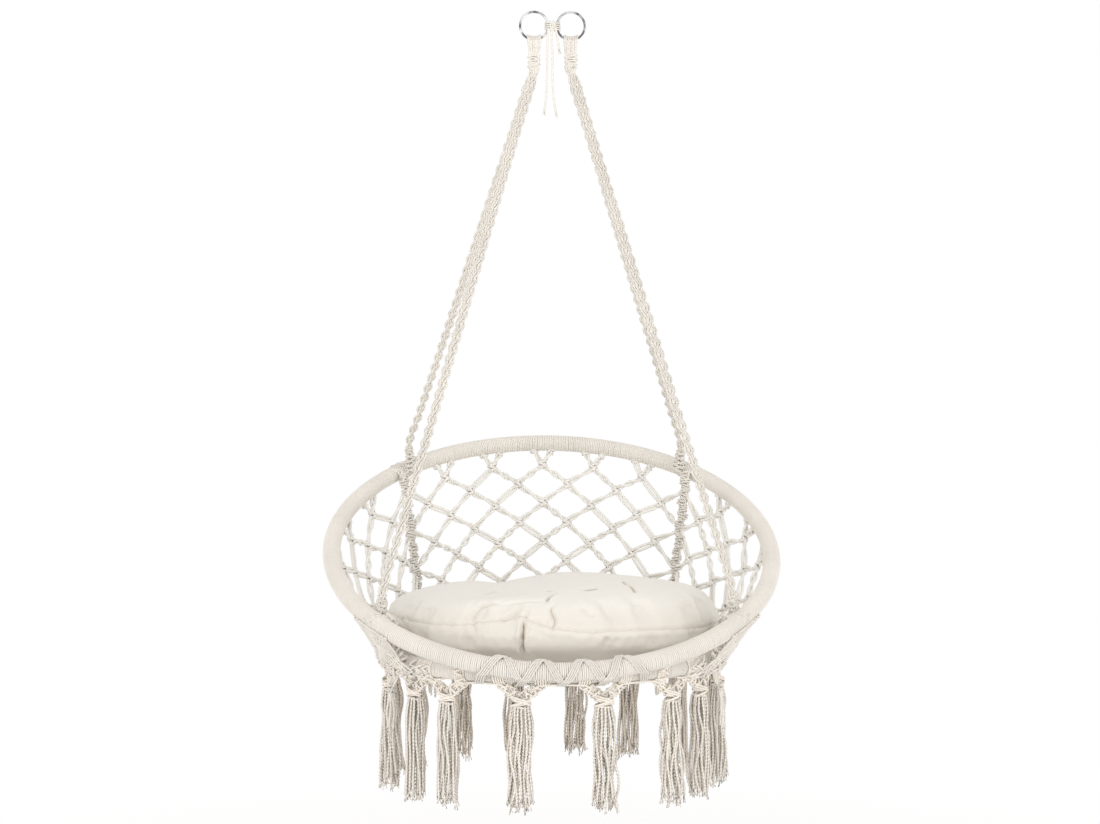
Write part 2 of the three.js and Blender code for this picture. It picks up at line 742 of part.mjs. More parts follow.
// A tassel: two legs from the hoop, a gathering knot and a skirt of strands
function tassel(degrees) {
  const centre = hoopPoint(seatHoopRadius, degrees);
  const spread = THREE.MathUtils.radToDeg(tasselLegSpread / seatHoopRadius);
  const knotTop = -wrapRadius - tasselKnotDrop + tasselKnotHeight / 2;
  const skirtDrop = tasselLength + wrapRadius + knotTop;
  const profile = [
    [0, -skirtDrop],
    [tasselSkirtDiameter / 2, -skirtDrop],
    [(tasselSkirtDiameter / 2) * skirtShoulderShare, -tasselShoulderDrop],
    [tasselNeckDiameter / 2, -tasselKnotHeight],
    [tasselKnotDiameter / 2, -tasselKnotHeight / 2],
    [0, 0],
  ].map(([across, height]) => new THREE.Vector2(across, height));
  const body = new THREE.LatheGeometry(profile, tasselSides);
  body.rotateX(Math.PI / 2);
  body.translate(centre.x, centre.y, knotTop);
  body.deleteAttribute('normal');
  body.deleteAttribute('uv');
  let solid = asSolid(body);
  const knotMiddle = vector(centre.x, centre.y, knotTop - tasselKnotHeight / 2);
  for (const side of [-1, 1]) {
    const foot = hoopPoint(seatHoopRadius, degrees + side * spread);
    foot.z = -wrapRadius / 2;
    solid = solid.add(asSolid(tube([foot, knotMiddle], tasselLegWidth / 2, tasselLegSides)));
  }
  return asGeometry(largestPart(solid.subtract(seatHoopCutter)));
}

// Cushion: a flat base inside the seat hoop, sides that swell over it and a crowned top
function cushion() {
  const floor = seatCordThickness / 2 + netKnotBulge + touchGap;
  const lower = lowerOutlineShares.map(([across, height]) => [
    across * cushionRadius,
    floor + height * (cushionSeamHeight - floor),
  ]);
  const seam = [[cushionRadius - cushionSeamDepth, cushionSeamHeight]];
  const upper = Array.from({ length: crownRows }, (_, row) => {
    const angle = ((row + crownFirstShare) / (crownRows - 1 + crownFirstShare)) * (Math.PI / 2);
    return [
      cushionRadius * Math.cos(angle) ** crownPower,
      cushionSeamHeight + (cushionTop - cushionSeamHeight) * Math.sin(angle) ** crownPower,
    ];
  });
  upper[crownRows - 1][0] = 0;
  const profile = [...lower, ...seam, ...upper].map(([across, height]) => new THREE.Vector2(across, height));
  const body = new THREE.LatheGeometry(profile, cushionSegments);
  body.rotateX(Math.PI / 2);
  body.deleteAttribute('normal');
  body.deleteAttribute('uv');
  return mergeVertices(body, weldTolerance);
}

for (const [sideName, side] of [['left', -1], ['right', 1]]) {
  const middle = (side * ringSpacing) / 2;
  addPiece(`hanging_ring_${sideName}`, hangingRing(), chromedSteel).position.set(middle, hangSetBack, hangHeight);
  addPiece(`rope_eye_${sideName}`, eyeWithCore(), ivoryCotton).position.set(middle, hangSetBack, axleHeight);
  const collar = tube(collarPoints(), collarCordDiameter / 2, collarSides);
  addPiece(`rope_collar_${sideName}`, collar, ivoryCotton).position.set(middle, hangSetBack, axleHeight);
}
report('rope collar', collarPoints(), collarCordDiameter);

for (const [name, route] of Object.entries(ropes)) {
  addPiece(`rope_${name}`, ropeTube(route), ivoryCotton);
  report(`rope ${name}`, route.points, ropeDiameter);
}

addPiece('ring_tie', tube(tiePoints(), tieCordDiameter / 2, tieSides), ivoryCotton)
  .position.set(0, hangSetBack, hangHeight);
report('ring tie', tiePoints(), tieCordDiameter);
for (const [name, route] of Object.entries(tailRoutes)) {
  const points = route.map(([x, y, z]) => vector(x, y, z - tieDrop - touchGap));
  addPiece(name, tube(points, tieCordDiameter / 2, tailSides), ivoryCotton)
    .position.set(0, hangSetBack, hangHeight);
}

hoopNodes('back_hoop', backHoopRadius, backHoopHitches, backHoopFrame);
hoopNodes('seat_hoop', seatHoopRadius, seatHoopHitches, chairFrame);

addPiece('back_net_rear', netPanel(-columnAtRearRope, columnAtRearRope), ivoryCotton);
addPiece('back_net_left', netPanel(-columnAtFrontRope, -columnAtRearRope), ivoryCotton);
addPiece('back_net_right', netPanel(columnAtRearRope, columnAtFrontRope), ivoryCotton);

const lacing = lacingPoints();
addPiece('front_lacing', tube(lacing, lacingCordDiameter / 2, lacingSides), ivoryCotton);
report('front lacing', lacing, lacingCordDiameter);
const lacingCutter = asSolid(tube(lacing, lacingCordDiameter / 2 + cutGrowth, lacingSides));
addPiece('seat_net', seatNet(lacingCutter), ivoryCotton);

const tasselDegrees = [...tasselPlaces, ...tasselPlaces.map((degrees) => -degrees).reverse()];
tasselDegrees.forEach((degrees, i) => {
  addPiece(`tassel_${String(i + 1).padStart(2, '0')}`, tassel(degrees), ivoryCotton);
});

addPiece('cushion', cushion(), cushionCotton);

export default chair;
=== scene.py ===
"""A knotted cotton hammock chair: two wrapped hoops, a knotted back net, plaited ropes, tassels and a
stuffed cushion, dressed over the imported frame. Lengths in the tables are millimetres in the seat's
own frame, whose origin is the middle of the seat hoop, and each piece is turned into metres as it is made."""
import functools
import math
import random

import bmesh
import bpy
import numpy as np
from bpy.props import FloatProperty, FloatVectorProperty, IntProperty, PointerProperty
from bpy.types import Operator, Panel, PropertyGroup
from mathutils import Matrix, Vector
from mathutils.bvhtree import BVHTree
from mathutils.kdtree import KDTree


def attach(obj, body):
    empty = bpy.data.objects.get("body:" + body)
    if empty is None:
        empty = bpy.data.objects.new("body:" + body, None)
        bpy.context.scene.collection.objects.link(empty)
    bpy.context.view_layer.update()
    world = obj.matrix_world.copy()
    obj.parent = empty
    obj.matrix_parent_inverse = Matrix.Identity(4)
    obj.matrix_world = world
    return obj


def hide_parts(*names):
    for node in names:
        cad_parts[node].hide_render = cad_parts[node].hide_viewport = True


bl_info = {
    "name": "Hammock chair",
    "version": (1, 0, 0),
    "blender": (4, 5, 0),
    "location": "View3D > Sidebar > Hammock chair",
    "description": "Ropes, knots, whipping, tassels and cushion of a round hanging chair",
    "category": "Add Mesh",
}

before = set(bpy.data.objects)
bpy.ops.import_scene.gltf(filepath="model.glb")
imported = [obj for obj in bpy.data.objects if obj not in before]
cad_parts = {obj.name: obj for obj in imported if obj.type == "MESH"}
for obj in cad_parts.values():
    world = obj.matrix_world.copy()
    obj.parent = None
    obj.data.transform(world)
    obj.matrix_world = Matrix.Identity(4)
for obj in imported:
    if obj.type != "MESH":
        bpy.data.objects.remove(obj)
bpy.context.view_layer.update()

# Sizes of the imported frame, in millimetres and degrees
MM = 0.001
BACK_HOOP_RADIUS = 385.0
SEAT_HOOP_RADIUS = 285.0
BACK_HOOP_TILT = 27.3
BACK_HOOP_PLACE = (0.0, 27.2, 184.38)
WRAP_RADIUS = 15.3
TOUCH_GAP = 0.3
HANG_HEIGHT = 1096.0
HANG_SET_BACK = 8.0
RING_RADIUS = 24.45
RING_WIRE_RADIUS = 2.3
RING_SPACING = 64.5
CORE_TOP = 1047.55
CORE_BOTTOM = 1023.55
ROPE_RADIUS = 7.75
TURN_STEPS = 14
BACK_HITCHES = {"front": 52.5, "rear": 135.0}
SEAT_HITCHES = {"front": 67.5, "rear": 135.0}
TURN_PITCH = {"front": 29.0, "rear": 17.5}
SEAT_TURN_PITCH = 17.5
SEAT_TURNS = 1.25
NET_COLUMN_ANGLE = 7.5
NET_ROW_PITCH = 37.0
NET_FIRST_ROW = 42.0
NET_LAST_ROW_CLEARANCE = 34.0
SEAT_NET_PITCH = 58.0
TASSEL_PLACES = [13.5, 40.0, 56.0, 81.0, 102.0, 123.5, 147.0, 168.5]
LACING_PITCH = 64.0
LACING_TURNS = 4
ROPE_APPROACH = 58.0
CUSHION_RADIUS = 290.0
FRAME_ORIGIN = np.array(Vector((0.0, HANG_SET_BACK, HANG_HEIGHT + RING_RADIUS - RING_WIRE_RADIUS)))
X, Y, Z = np.eye(3)
SIDES = (("left", -1), ("right", 1))
RELIEF_HEIGHT = 0.0006
NET_KNOT_WIDTH = 20.0
NET_KNOT_DEPTH = 14.0
NET_LOOP_PITCH = 5.2
NET_CORNER = (3.4, 4.6)
TASSEL_LENGTH = 198.0
TASSEL_KNOT_DROP = 24.0

# The free tails of the ring tie, as in the part's source
TAIL_ROUTES = {
    "tie_tail_left": [(-7.6, -4.7, 0), (-8, -4.9, -8), (-8.6, -4.9, -20), (-9, -4.6, -34), (-9.2, -4, -48),
        (-9.4, -3.4, -62), (-9.6, -3, -76), (-9.8, -2.8, -90), (-10.2, -2.8, -104), (-11, -3, -118),
        (-12.4, -3.2, -131), (-14.2, -3.4, -144)],
    "tie_tail_middle": [(-1.5, -4.7, 0), (-1.7, -4.9, -9), (-1.6, -4.9, -22), (-0.8, -4.5, -36),
        (-0.2, -4, -50), (0, -3.4, -64), (0, -3, -78), (0.2, -2.7, -92), (0.8, -2.6, -106), (2, -2.7, -120),
        (3.8, -2.9, -134), (6, -3.1, -147)],
    "tie_tail_right": [(5.8, -4.7, 0), (6.8, -5, -8), (8, -5.1, -17), (9.6, -5, -26), (11.4, -4.7, -36)],
}
TAIL_TOP = -5.175


# Settings that a user would change

class ChairSizes(PropertyGroup):
    cord: FloatProperty(name="Rope cord", description="Thickness of one cord in the ropes",
        default=0.0044, unit="LENGTH")
    net_cord: FloatProperty(name="Net cord", description="Thickness of one cord in the nets",
        default=0.0064, unit="LENGTH")
    strand: FloatProperty(name="Tassel strand", description="Thickness of one hanging strand",
        default=0.0052, unit="LENGTH")
    whipping: FloatProperty(name="Whipping pitch", description="From one turn of the whipping to the next",
        default=0.0034, unit="LENGTH")
    braid: FloatProperty(name="Plait length", description="Length over which a rope's plait repeats",
        default=0.064, unit="LENGTH")
    strands: IntProperty(name="Strands", description="Hanging strands in one tassel", default=22)
    step: FloatProperty(name="Detail", description="Spacing of the rings of points along a cord",
        default=0.0027, unit="LENGTH")


class ChairColours(PropertyGroup):
    cotton: FloatVectorProperty(name="Cotton", description="Colour of the cotton cords",
        subtype="COLOR", size=3, default=(0.93, 0.885, 0.82))
    shade: FloatVectorProperty(name="Cotton shade", description="Colour between the fibres",
        subtype="COLOR", size=3, default=(0.85, 0.79, 0.71))
    cushion: FloatVectorProperty(name="Cushion", description="Colour of the cushion cover",
        subtype="COLOR", size=3, default=(0.806, 0.776, 0.722))
    # Painted shade colour for the cushion: in its creases, along and below the seam and toward the low front
    cushion_shade: FloatVectorProperty(name="Crease", description="Colour in the cushion's creases",
        subtype="COLOR", size=3, default=(0.36, 0.25, 0.13))
    steel: FloatVectorProperty(name="Steel", description="Colour of the polished rings",
        subtype="COLOR", size=3, default=(0.74, 0.74, 0.75))


# Small helpers

def sizes():
    return bpy.context.scene.chair_sizes


def colours():
    return bpy.context.scene.chair_colours


def to_frame(points):
    """Millimetres in the seat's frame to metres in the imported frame."""
    return (np.asarray(points, float) - FRAME_ORIGIN) * MM


def to_seat(points):
    """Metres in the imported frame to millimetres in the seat's frame."""
    return points / MM + FRAME_ORIGIN


def linked(obj):
    bpy.context.scene.collection.objects.link(obj)
    return obj


def unit(v):
    v = np.asarray(v, float)
    return v / np.linalg.norm(v)


def smooth(t):
    t = np.clip(t, 0.0, 1.0)
    return t * t * (3 - 2 * t)


def lengths_along(path):
    return np.concatenate([[0.0], np.cumsum(np.linalg.norm(np.diff(path, axis=0), axis=1))])


def resampled(path, step):
    """The path again, with points evenly spaced along a smooth curve through it."""
    path = np.asarray(path, float)
    if len(path) > 2:
        path = rounded(path)
    along = lengths_along(path)
    count = max(2, int(math.ceil(along[-1] / step)) + 1)
    at = np.linspace(0, along[-1], count)
    return np.stack([np.interp(at, along, path[:, i]) for i in range(3)], axis=1)


def rounded(path, per_span=6):
    """A smooth curve that passes through every point of the path."""
    ends = np.vstack([2 * path[0] - path[1], path, 2 * path[-1] - path[-2]])
    out = []
    for i in range(1, len(ends) - 2):
        a, b, c, d = ends[i - 1:i + 3]
        for t in np.linspace(0, 1, per_span, endpoint=False):
            out.append(0.5 * (2 * b + (c - a) * t + (2 * a - 5 * b + 4 * c - d) * t ** 2
                + (3 * b - a - 3 * c + d) * t ** 3))
    out.append(path[-1])
    return np.array(out)


def tangents(path):
    t = np.gradient(path, axis=0)
    return t / np.linalg.norm(t, axis=1)[:, None]


def crosswise(across, along):
    """across made square to the tangents, and the direction square to both."""
    across = across - (across * along).sum(1)[:, None] * along
    across /= np.linalg.norm(across, axis=1)[:, None]
    return across, np.cross(across, along)


# The frame's own curves, as in the part's source

def hoop_point(radius, degrees):
    a = math.radians(degrees)
    return np.array([radius * math.sin(a), -radius * math.cos(a), 0.0])


BACK_TURN = np.array(Matrix.Rotation(math.radians(BACK_HOOP_TILT), 3, "X"))


def on_back_hoop(degrees, radius=BACK_HOOP_RADIUS):
    return BACK_TURN @ hoop_point(radius, degrees) + np.array(BACK_HOOP_PLACE)


def on_seat_hoop(degrees):
    return hoop_point(SEAT_HOOP_RADIUS, degrees)


def seat_bar(degrees):
    """The way along the seat hoop."""
    return hoop_point(1, degrees + 90)


def back_bar(degrees):
    return BACK_TURN @ seat_bar(degrees)


def flattened_unit(direction, axis):
    return unit(direction - np.dot(direction, axis) * axis)


def round_turns(centre, bar, coming_in, going_out, entry_side, turns, pitch):
    radius = (WRAP_RADIUS + TOUCH_GAP + ROPE_RADIUS) / math.cos(math.pi / TURN_STEPS) + 0.2
    axis = unit(bar)
    if np.dot(np.cross(coming_in, axis), entry_side) < 0:
        axis = -axis
    entry = np.cross(flattened_unit(coming_in, axis), axis)
    leaving = np.cross(flattened_unit(going_out, axis), axis)
    quarter = np.cross(axis, entry)
    total = math.atan2(np.dot(leaving, quarter), np.dot(leaving, entry)) + 2 * math.pi * turns
    lean = 1 if np.dot(coming_in, axis) > 0 else -1
    advance = lean * pitch * total / (2 * math.pi)
    steps = round(TURN_STEPS * total / (2 * math.pi))
    points = []
    for step in range(steps + 1):
        share = step / steps
        points.append(centre + axis * advance * (share - 0.5) + entry * radius * math.cos(total * share)
            + quarter * radius * math.sin(total * share))
    return np.array(points), axis


def rope_route(side, place):
    """The centreline of one rope, with the two bars that it is hitched to."""
    facing = -1 if place == "front" else 1
    top = np.array([side * RING_SPACING / 2, HANG_SET_BACK + facing * 5.25, CORE_BOTTOM - TOUCH_GAP])
    back_angle = side * BACK_HITCHES[place]
    seat_angle = side * SEAT_HITCHES[place]
    back_centre = on_back_hoop(back_angle)
    seat_centre = on_seat_hoop(seat_angle)
    down = unit(back_centre - top)
    onward = unit(seat_centre - back_centre)
    inward = unit(on_back_hoop(back_angle, 0) - back_centre)
    outward = unit(seat_centre)
    bar = back_bar(back_angle)
    across = np.cross(flattened_unit(down, bar), bar)
    across *= math.copysign(1, np.dot(across, inward))
    coming_in = down + across * math.tan(math.asin((WRAP_RADIUS + ROPE_RADIUS) / ROPE_APPROACH))
    back_turn, back_axis = round_turns(back_centre, bar, coming_in, onward, inward, 1, TURN_PITCH[place])
    seat_turn, seat_axis = round_turns(seat_centre, seat_bar(seat_angle), onward, onward, outward, SEAT_TURNS,
        SEAT_TURN_PITCH)
    return {"top": top, "above": back_centre - down * ROPE_APPROACH, "back_turn": back_turn,
        "seat_turn": seat_turn, "back_axis": back_axis, "seat_axis": seat_axis, "back_centre": back_centre,
        "seat_centre": seat_centre, "onward": onward, "outward": outward}


ROPES = {f"{name}_{place}": rope_route(side, place) for name, side in SIDES for place in ("front", "rear")}
COLUMN_AT_REAR = round((180 - BACK_HITCHES["rear"]) / NET_COLUMN_ANGLE)
COLUMN_AT_FRONT = round((180 - BACK_HITCHES["front"]) / NET_COLUMN_ANGLE)


def seat_angle_of_column(column):
    rear = 180 - SEAT_HITCHES["rear"]
    front = 180 - SEAT_HITCHES["front"]
    size = abs(column)
    if size <= COLUMN_AT_REAR:
        return column * rear / COLUMN_AT_REAR
    share = (size - COLUMN_AT_REAR) / (COLUMN_AT_FRONT - COLUMN_AT_REAR)
    return math.copysign(rear + share * (front - rear), column)


def column_ends(column):
    """Where a column of the net leaves the back hoop and reaches the seat hoop; some run along a rope."""
    side = "left" if column < 0 else "right"
    place = {COLUMN_AT_REAR: "rear", COLUMN_AT_FRONT: "front"}.get(abs(column))
    if place:
        route = ROPES[f"{side}_{place}"]
        return route["back_turn"][-1], route["seat_turn"][0]
    return on_back_hoop(180 - column * NET_COLUMN_ANGLE), on_seat_hoop(180 - seat_angle_of_column(column))


def net_point(column, distance):
    top, bottom = column_ends(column)
    return top + (bottom - top) * min(1.0, distance / np.linalg.norm(bottom - top))


def row_distance(row):
    return NET_FIRST_ROW + (row - 1) * NET_ROW_PITCH


def row_in_span(column, row):
    top, bottom = column_ends(column)
    return row >= 1 and row_distance(row) < np.linalg.norm(bottom - top) - NET_LAST_ROW_CLEARANCE


# Geometry node trees and shader groups

class Nodes:
    """Makes the nodes of one tree and gives back their outputs. Values without a name go to a node's
    inputs in turn, names that begin with a capital are inputs, and the other names are settings."""

    def __init__(self, tree):
        self.tree = tree
        self.families = ("GeometryNode", "FunctionNode", "ShaderNode")
        if tree.type == "SHADER":
            self.families = ("ShaderNode",)

    def __call__(self, kind, *inputs, **named):
        family = next(f for f in self.families if hasattr(bpy.types, f + kind))
        node = self.tree.nodes.new(family + kind)
        given = dict(enumerate(inputs))
        for key, value in named.items():
            if key[0].isupper():
                given[key.replace("_", " ")] = value
            else:
                setattr(node, key, value)
        for key, value in given.items():
            self.link(value, node.inputs[key])
        return node.outputs

    def link(self, value, socket):
        """A socket's link or its value; None leaves it as it is."""
        if isinstance(value, bpy.types.NodeSocket):
            self.tree.links.new(value, socket)
        elif value is not None:
            socket.default_value = value

    def maths(self, operation, *values):
        return self("Math", *values, operation=operation)[0]

    def times(self, a, b):
        return self.maths("MULTIPLY", a, b)

    def chance(self, low, high, seed, owner=None):
        """A random number between two others for each point, or for each owner."""
        return self("RandomValue", None, None, low, high, ID=owner, Seed=seed, data_type="FLOAT")[1]

    def seam(self, shape, value):
        """The shape, marked with the attribute that paints shade into the cotton's grooves."""
        return self("StoreNamedAttribute", Geometry=shape, Name="seam", Value=value, data_type="FLOAT",
            domain="POINT")[0]

    def made_real(self, shape, finish, out):
        real = self("RealizeInstances", shape)[0]
        self.link(self("SetMaterial", Geometry=real, Material=finish)[0], out[0])
        return self.tree

    def noise(self, scale, detail, roughness=0.5, output=0):
        return self("TexNoise", Vector=self("TexCoord")["Object"], Scale=scale, Detail=detail,
            Roughness=roughness)[output]

    def blend(self, share, low, high):
        """Two colours mixed by a share."""
        return self("Mix", share, None, None, None, None, None, low, high, data_type="RGBA")[2]


def socket_kind(value):
    if isinstance(value, tuple):
        return "NodeSocketColor" if len(value) == 4 else "NodeSocketVector"
    return {float: "NodeSocketFloat", int: "NodeSocketInt"}.get(type(value), "NodeSocketMaterial")


def new_group(name, kind, outputs, **inputs):
    """A node group's maker of nodes, its inputs, of the kinds of the values given, and its outputs."""
    tree = bpy.data.node_groups.new(name, kind)
    new_socket = tree.interface.new_socket
    if kind == "GeometryNodeTree":
        new_socket("Geometry", in_out="INPUT", socket_type="NodeSocketGeometry")
    for label, value in inputs.items():
        socket = new_socket(label.replace("_", " "), in_out="INPUT", socket_type=socket_kind(value))
        if value is not None:
            socket.default_value = value
    for label, value in outputs.items():
        new_socket(label, in_out="OUTPUT", socket_type="NodeSocket" + value)
    return Nodes(tree), tree.nodes.new("NodeGroupInput").outputs, tree.nodes.new("NodeGroupOutput").inputs


def shape_group(name, **inputs):
    return new_group(name, "GeometryNodeTree", {"Geometry": "Geometry"}, **inputs)


@functools.cache
def cord_tree():
    """Twisted plies laid along every curve, with the curve's own radius as a scale."""
    n, g, out = shape_group("Twisted cord", Diameter=0.004, Lay=0.014, Ply_depth=0.15, Plies=3.0,
        Step=0.0022, Sides=9, Seed=0, Material=None)
    laid = n("ResampleCurve", Curve=g["Geometry"], Length=g["Step"], mode="LENGTH")[0]
    start = n.chance(0.0, 2 * math.pi, g["Seed"], n("CurveOfPoint")[0])
    turns = n.maths("DIVIDE", n("SplineParameter")["Length"], g["Lay"])
    tilted = n("SetCurveTilt", Curve=laid, Tilt=n.maths("MULTIPLY_ADD", turns, 2 * math.pi, start))[0]
    ring = n("CurvePrimitiveCircle", Resolution=g["Sides"], Radius=n.times(g["Diameter"], 0.5))[0]
    around = n.times(n("SplineParameter")["Factor"], 2 * math.pi)
    lobe = n.times(n.maths("COSINE", n.times(around, g["Plies"])), g["Ply depth"])
    swell = n.maths("SUBTRACT", n.maths("ADD", lobe, 1.0), g["Ply depth"])
    grown = n("VectorMath", n("InputPosition")[0], Scale=swell, operation="SCALE")[0]
    # Painted shade: the valleys between the plies are marked to darken the cotton there
    valley = n.times(n.maths("SUBTRACT", g["Ply depth"], lobe), 2.2)
    section = n.seam(n("SetPosition", Geometry=ring, Position=grown)[0], valley)
    skin = n("CurveToMesh", Curve=tilted, Profile_Curve=section, Scale=n("InputRadius")[0], Fill_Caps=True)[0]
    return n.made_real(n("SetShadeSmooth", Geometry=skin)[0], g["Material"], out)


@functools.cache
def whipping_tree():
    """One ring of cord after another along an arc, each with its own small lean and swell."""
    n, g, out = shape_group("Whipping turns", Pitch=0.0034, Turn_radius=0.0137, Cord_radius=0.0018,
        Lean=0.05, Jitter=0.012, Seed=0, Upright=(0.0, 0.0, 1.0), Material=None)
    arc = n("ResampleCurve", Curve=g["Geometry"], Length=g["Pitch"], mode="LENGTH")[0]
    turn = n("CurvePrimitiveCircle", Resolution=14, Radius=g["Turn radius"])[0]
    section = n("CurvePrimitiveCircle", Resolution=6, Radius=g["Cord radius"])[0]
    ring = n("CurveToMesh", Curve=turn, Profile_Curve=section)[0]
    # Painted shade: each turn's sides, where it meets the next turn, are marked to darken the cotton there
    aside = n.maths("ABSOLUTE", n("SeparateXYZ", n("InputPosition")[0])[2])
    marked = n.seam(ring, n.maths("POWER", n.maths("DIVIDE", aside, g["Cord radius"]), 3.0))
    even = n("SetShadeSmooth", Geometry=marked)[0]
    facing = n("AlignRotationToVector", Vector=n("InputTangent")[0], axis="Z")[0]
    upright = n("AlignRotationToVector", Rotation=facing, Vector=g["Upright"], axis="X", pivot_axis="Z")[0]
    lean = n.chance(n.times(g["Lean"], 0.75), n.times(g["Lean"], 1.25), g["Seed"])
    turned = n("AxisAngleToRotation", Axis=(1.0, 0.0, 0.0), Angle=lean)[0]
    leaned = n("RotateRotation", Rotation=upright, Rotate_By=turned, rotation_space="LOCAL")[0]
    swell = n.chance(n.maths("SUBTRACT", 1.0, g["Jitter"]), n.maths("ADD", 1.0, g["Jitter"]),
        n.maths("ADD", g["Seed"], 1.0))
    turns = n("InstanceOnPoints", Points=arc, Instance=even, Rotation=leaned, Scale=swell)[0]
    return n.made_real(turns, g["Material"], out)


def curve_object(name, paths, radii=None, cyclic=False):
    """A curve object of straight-sided splines through the paths, which are in the seat's millimetres."""
    data = bpy.data.curves.new(name, "CURVE")
    data.dimensions = "3D"
    data.twist_mode = "MINIMUM"
    for i, path in enumerate(paths):
        spline = data.splines.new("POLY")
        spline.points.add(len(path) - 1)
        flat = np.ones((len(path), 4))
        flat[:, :3] = to_frame(path)
        spline.points.foreach_set("co", flat.ravel())
        spline.points.foreach_set("radius", np.ones(len(path)) if radii is None else radii[i])
        spline.use_cyclic_u = cyclic
    return linked(bpy.data.objects.new(name, data))


def grown_mesh(source, tree, values, name):
    """The mesh that a node tree makes from a curve, as a plain object at the origin."""
    modifier = source.modifiers.new("Grow", "NODES")
    modifier.node_group = tree
    sockets = {item.name: item.identifier for item in tree.interface.items_tree if item.in_out == "INPUT"}
    for label, value in values.items():
        modifier[sockets[label]] = value
    mesh = evaluated_mesh(source)
    source.modifiers.remove(modifier)
    data = source.data
    bpy.data.objects.remove(source)
    bpy.data.curves.remove(data)
    mesh.name = name
    return linked(bpy.data.objects.new(name, mesh))


def lay_cords(name, paths, diameter, finish, lay=0.014, depth=0.15, plies=3, sides=9, step=None, radii=None,
        cyclic=False, seed=1):
    """One piece of twisted cords along paths."""
    step = step or sizes().step
    values = {"Diameter": diameter, "Lay": lay, "Ply depth": depth, "Plies": float(plies), "Step": step,
        "Sides": sides, "Seed": seed, "Material": finish}
    return grown_mesh(curve_object(name + "_line", paths, radii, cyclic), cord_tree(), values, name)


def joined(name, parts):
    """Several mesh objects of one material made into one."""
    merged = bmesh.new()
    mesh = bpy.data.meshes.new(name)
    mesh.materials.append(parts[0].data.materials[0])
    for part in parts:
        old = part.data
        merged.from_mesh(old)
        bpy.data.objects.remove(part)
        bpy.data.meshes.remove(old)
    merged.to_mesh(mesh)
    merged.free()
    return linked(bpy.data.objects.new(name, mesh))


def finish_piece(obj, body, slot, *nodes):
    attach(obj, body)
    if nodes:
        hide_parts(*nodes)
    return obj


# Shared shader groups

def look_group(name, **inputs):
    """A shader group that gives a colour, a roughness and a height."""
    outputs = {"Colour": "Color", "Roughness": "Float", "Height": "Float"}
    return new_group(name, "ShaderNodeTree", outputs, **inputs)


def look_made(n, out, *values):
    for value, socket in zip(values, out):
        n.link(value, socket)
    return n.tree


@functools.cache
def fibre_group():
    """Fine cotton fibre: a colour that darkens between fibres and with painted shade in the grooves that the
    shapes mark, and their height.
    """
    n, g, out = look_group("Cotton fibre", Light=(0.8, 0.76, 0.7, 1), Dark=(0.5, 0.45, 0.38, 1),
        Fibre_scale=900.0, Patch_scale=14.0, Seam_depth=0.2)
    fine = n.noise(g["Fibre scale"], 3.0, 0.6)
    mid = n.noise(n.times(g["Fibre scale"], 0.22), 2.0)
    mixed = n.maths("ADD", n.times(fine, 0.5), n.times(mid, 0.5))
    base = n.blend(n("MapRange", mixed, 0.25, 0.6)[0], g["Dark"], g["Light"])
    patch = n("MapRange", n.noise(g["Patch scale"], 2.0), 0.3, 0.7, 0.95, 1.02)[0]
    # Painted shade: the colour is darkened by the marked grooves between plies and between turns
    seam = n.times(n("Attribute", attribute_name="seam")["Fac"], g["Seam depth"])
    tone = n.times(patch, n.maths("SUBTRACT", 1.0, seam))
    shade = n("HueSaturation", Value=tone, Color=base)[0]
    return look_made(n, out, shade, n("MapRange", mid, 0.0, 1.0, 0.86, 0.98)[0], mixed)


@functools.cache
def weave_group():
    """A plain weave of fine yarns in object space, with soft broad mottling."""
    n, g, out = look_group("Plain weave", Light=(0.85, 0.83, 0.78, 1), Dark=(0.7, 0.67, 0.6, 1),
        Yarn_scale=900.0)
    bend = n("VectorMath", n.noise(60.0, 2.0, output="Color"), Scale=0.0012, operation="SCALE")[0]
    bent = n("VectorMath", n("TexCoord")["Object"], bend, operation="ADD")[0]
    across, along = (n("TexWave", Vector=bent, Scale=n.times(g["Yarn scale"], 0.32), Distortion=0.6,
        Detail=1.0, wave_type="BANDS", bands_direction=direction)["Fac"] for direction in "XY")
    slub = n.noise(n.times(g["Yarn scale"], 0.25), 3.0)
    height = n.maths("ADD", n.times(n.maths("MAXIMUM", across, along), 0.6), n.times(slub, 0.4))
    share = n.maths("ADD", n.times(height, 0.65), n.times(n.noise(9.0, 3.0), 0.5))
    base = n.blend(share, g["Dark"], g["Light"])
    return look_made(n, out, base, n("MapRange", height, 0.0, 1.0, 0.96, 0.86)[0], height)


@functools.cache
def scratch_group():
    """Fine handling marks on steel: a colour, a roughness and a height."""
    n, g, out = look_group("Handled steel", Light=(0.7, 0.7, 0.7, 1), Dark=(0.4, 0.4, 0.4, 1), Low=0.08,
        High=0.3, Mark_scale=300.0)
    marks = n.noise(g["Mark scale"], 4.0)
    bands = n("MapRange", n.noise(n.times(g["Mark scale"], 0.2), 2.0), 0.4, 0.58)[0]
    rough = n("MapRange", marks, 0.35, 0.7, g["Low"], g["High"])[0]
    return look_made(n, out, n.blend(bands, g["Dark"], g["Light"]), rough, marks)


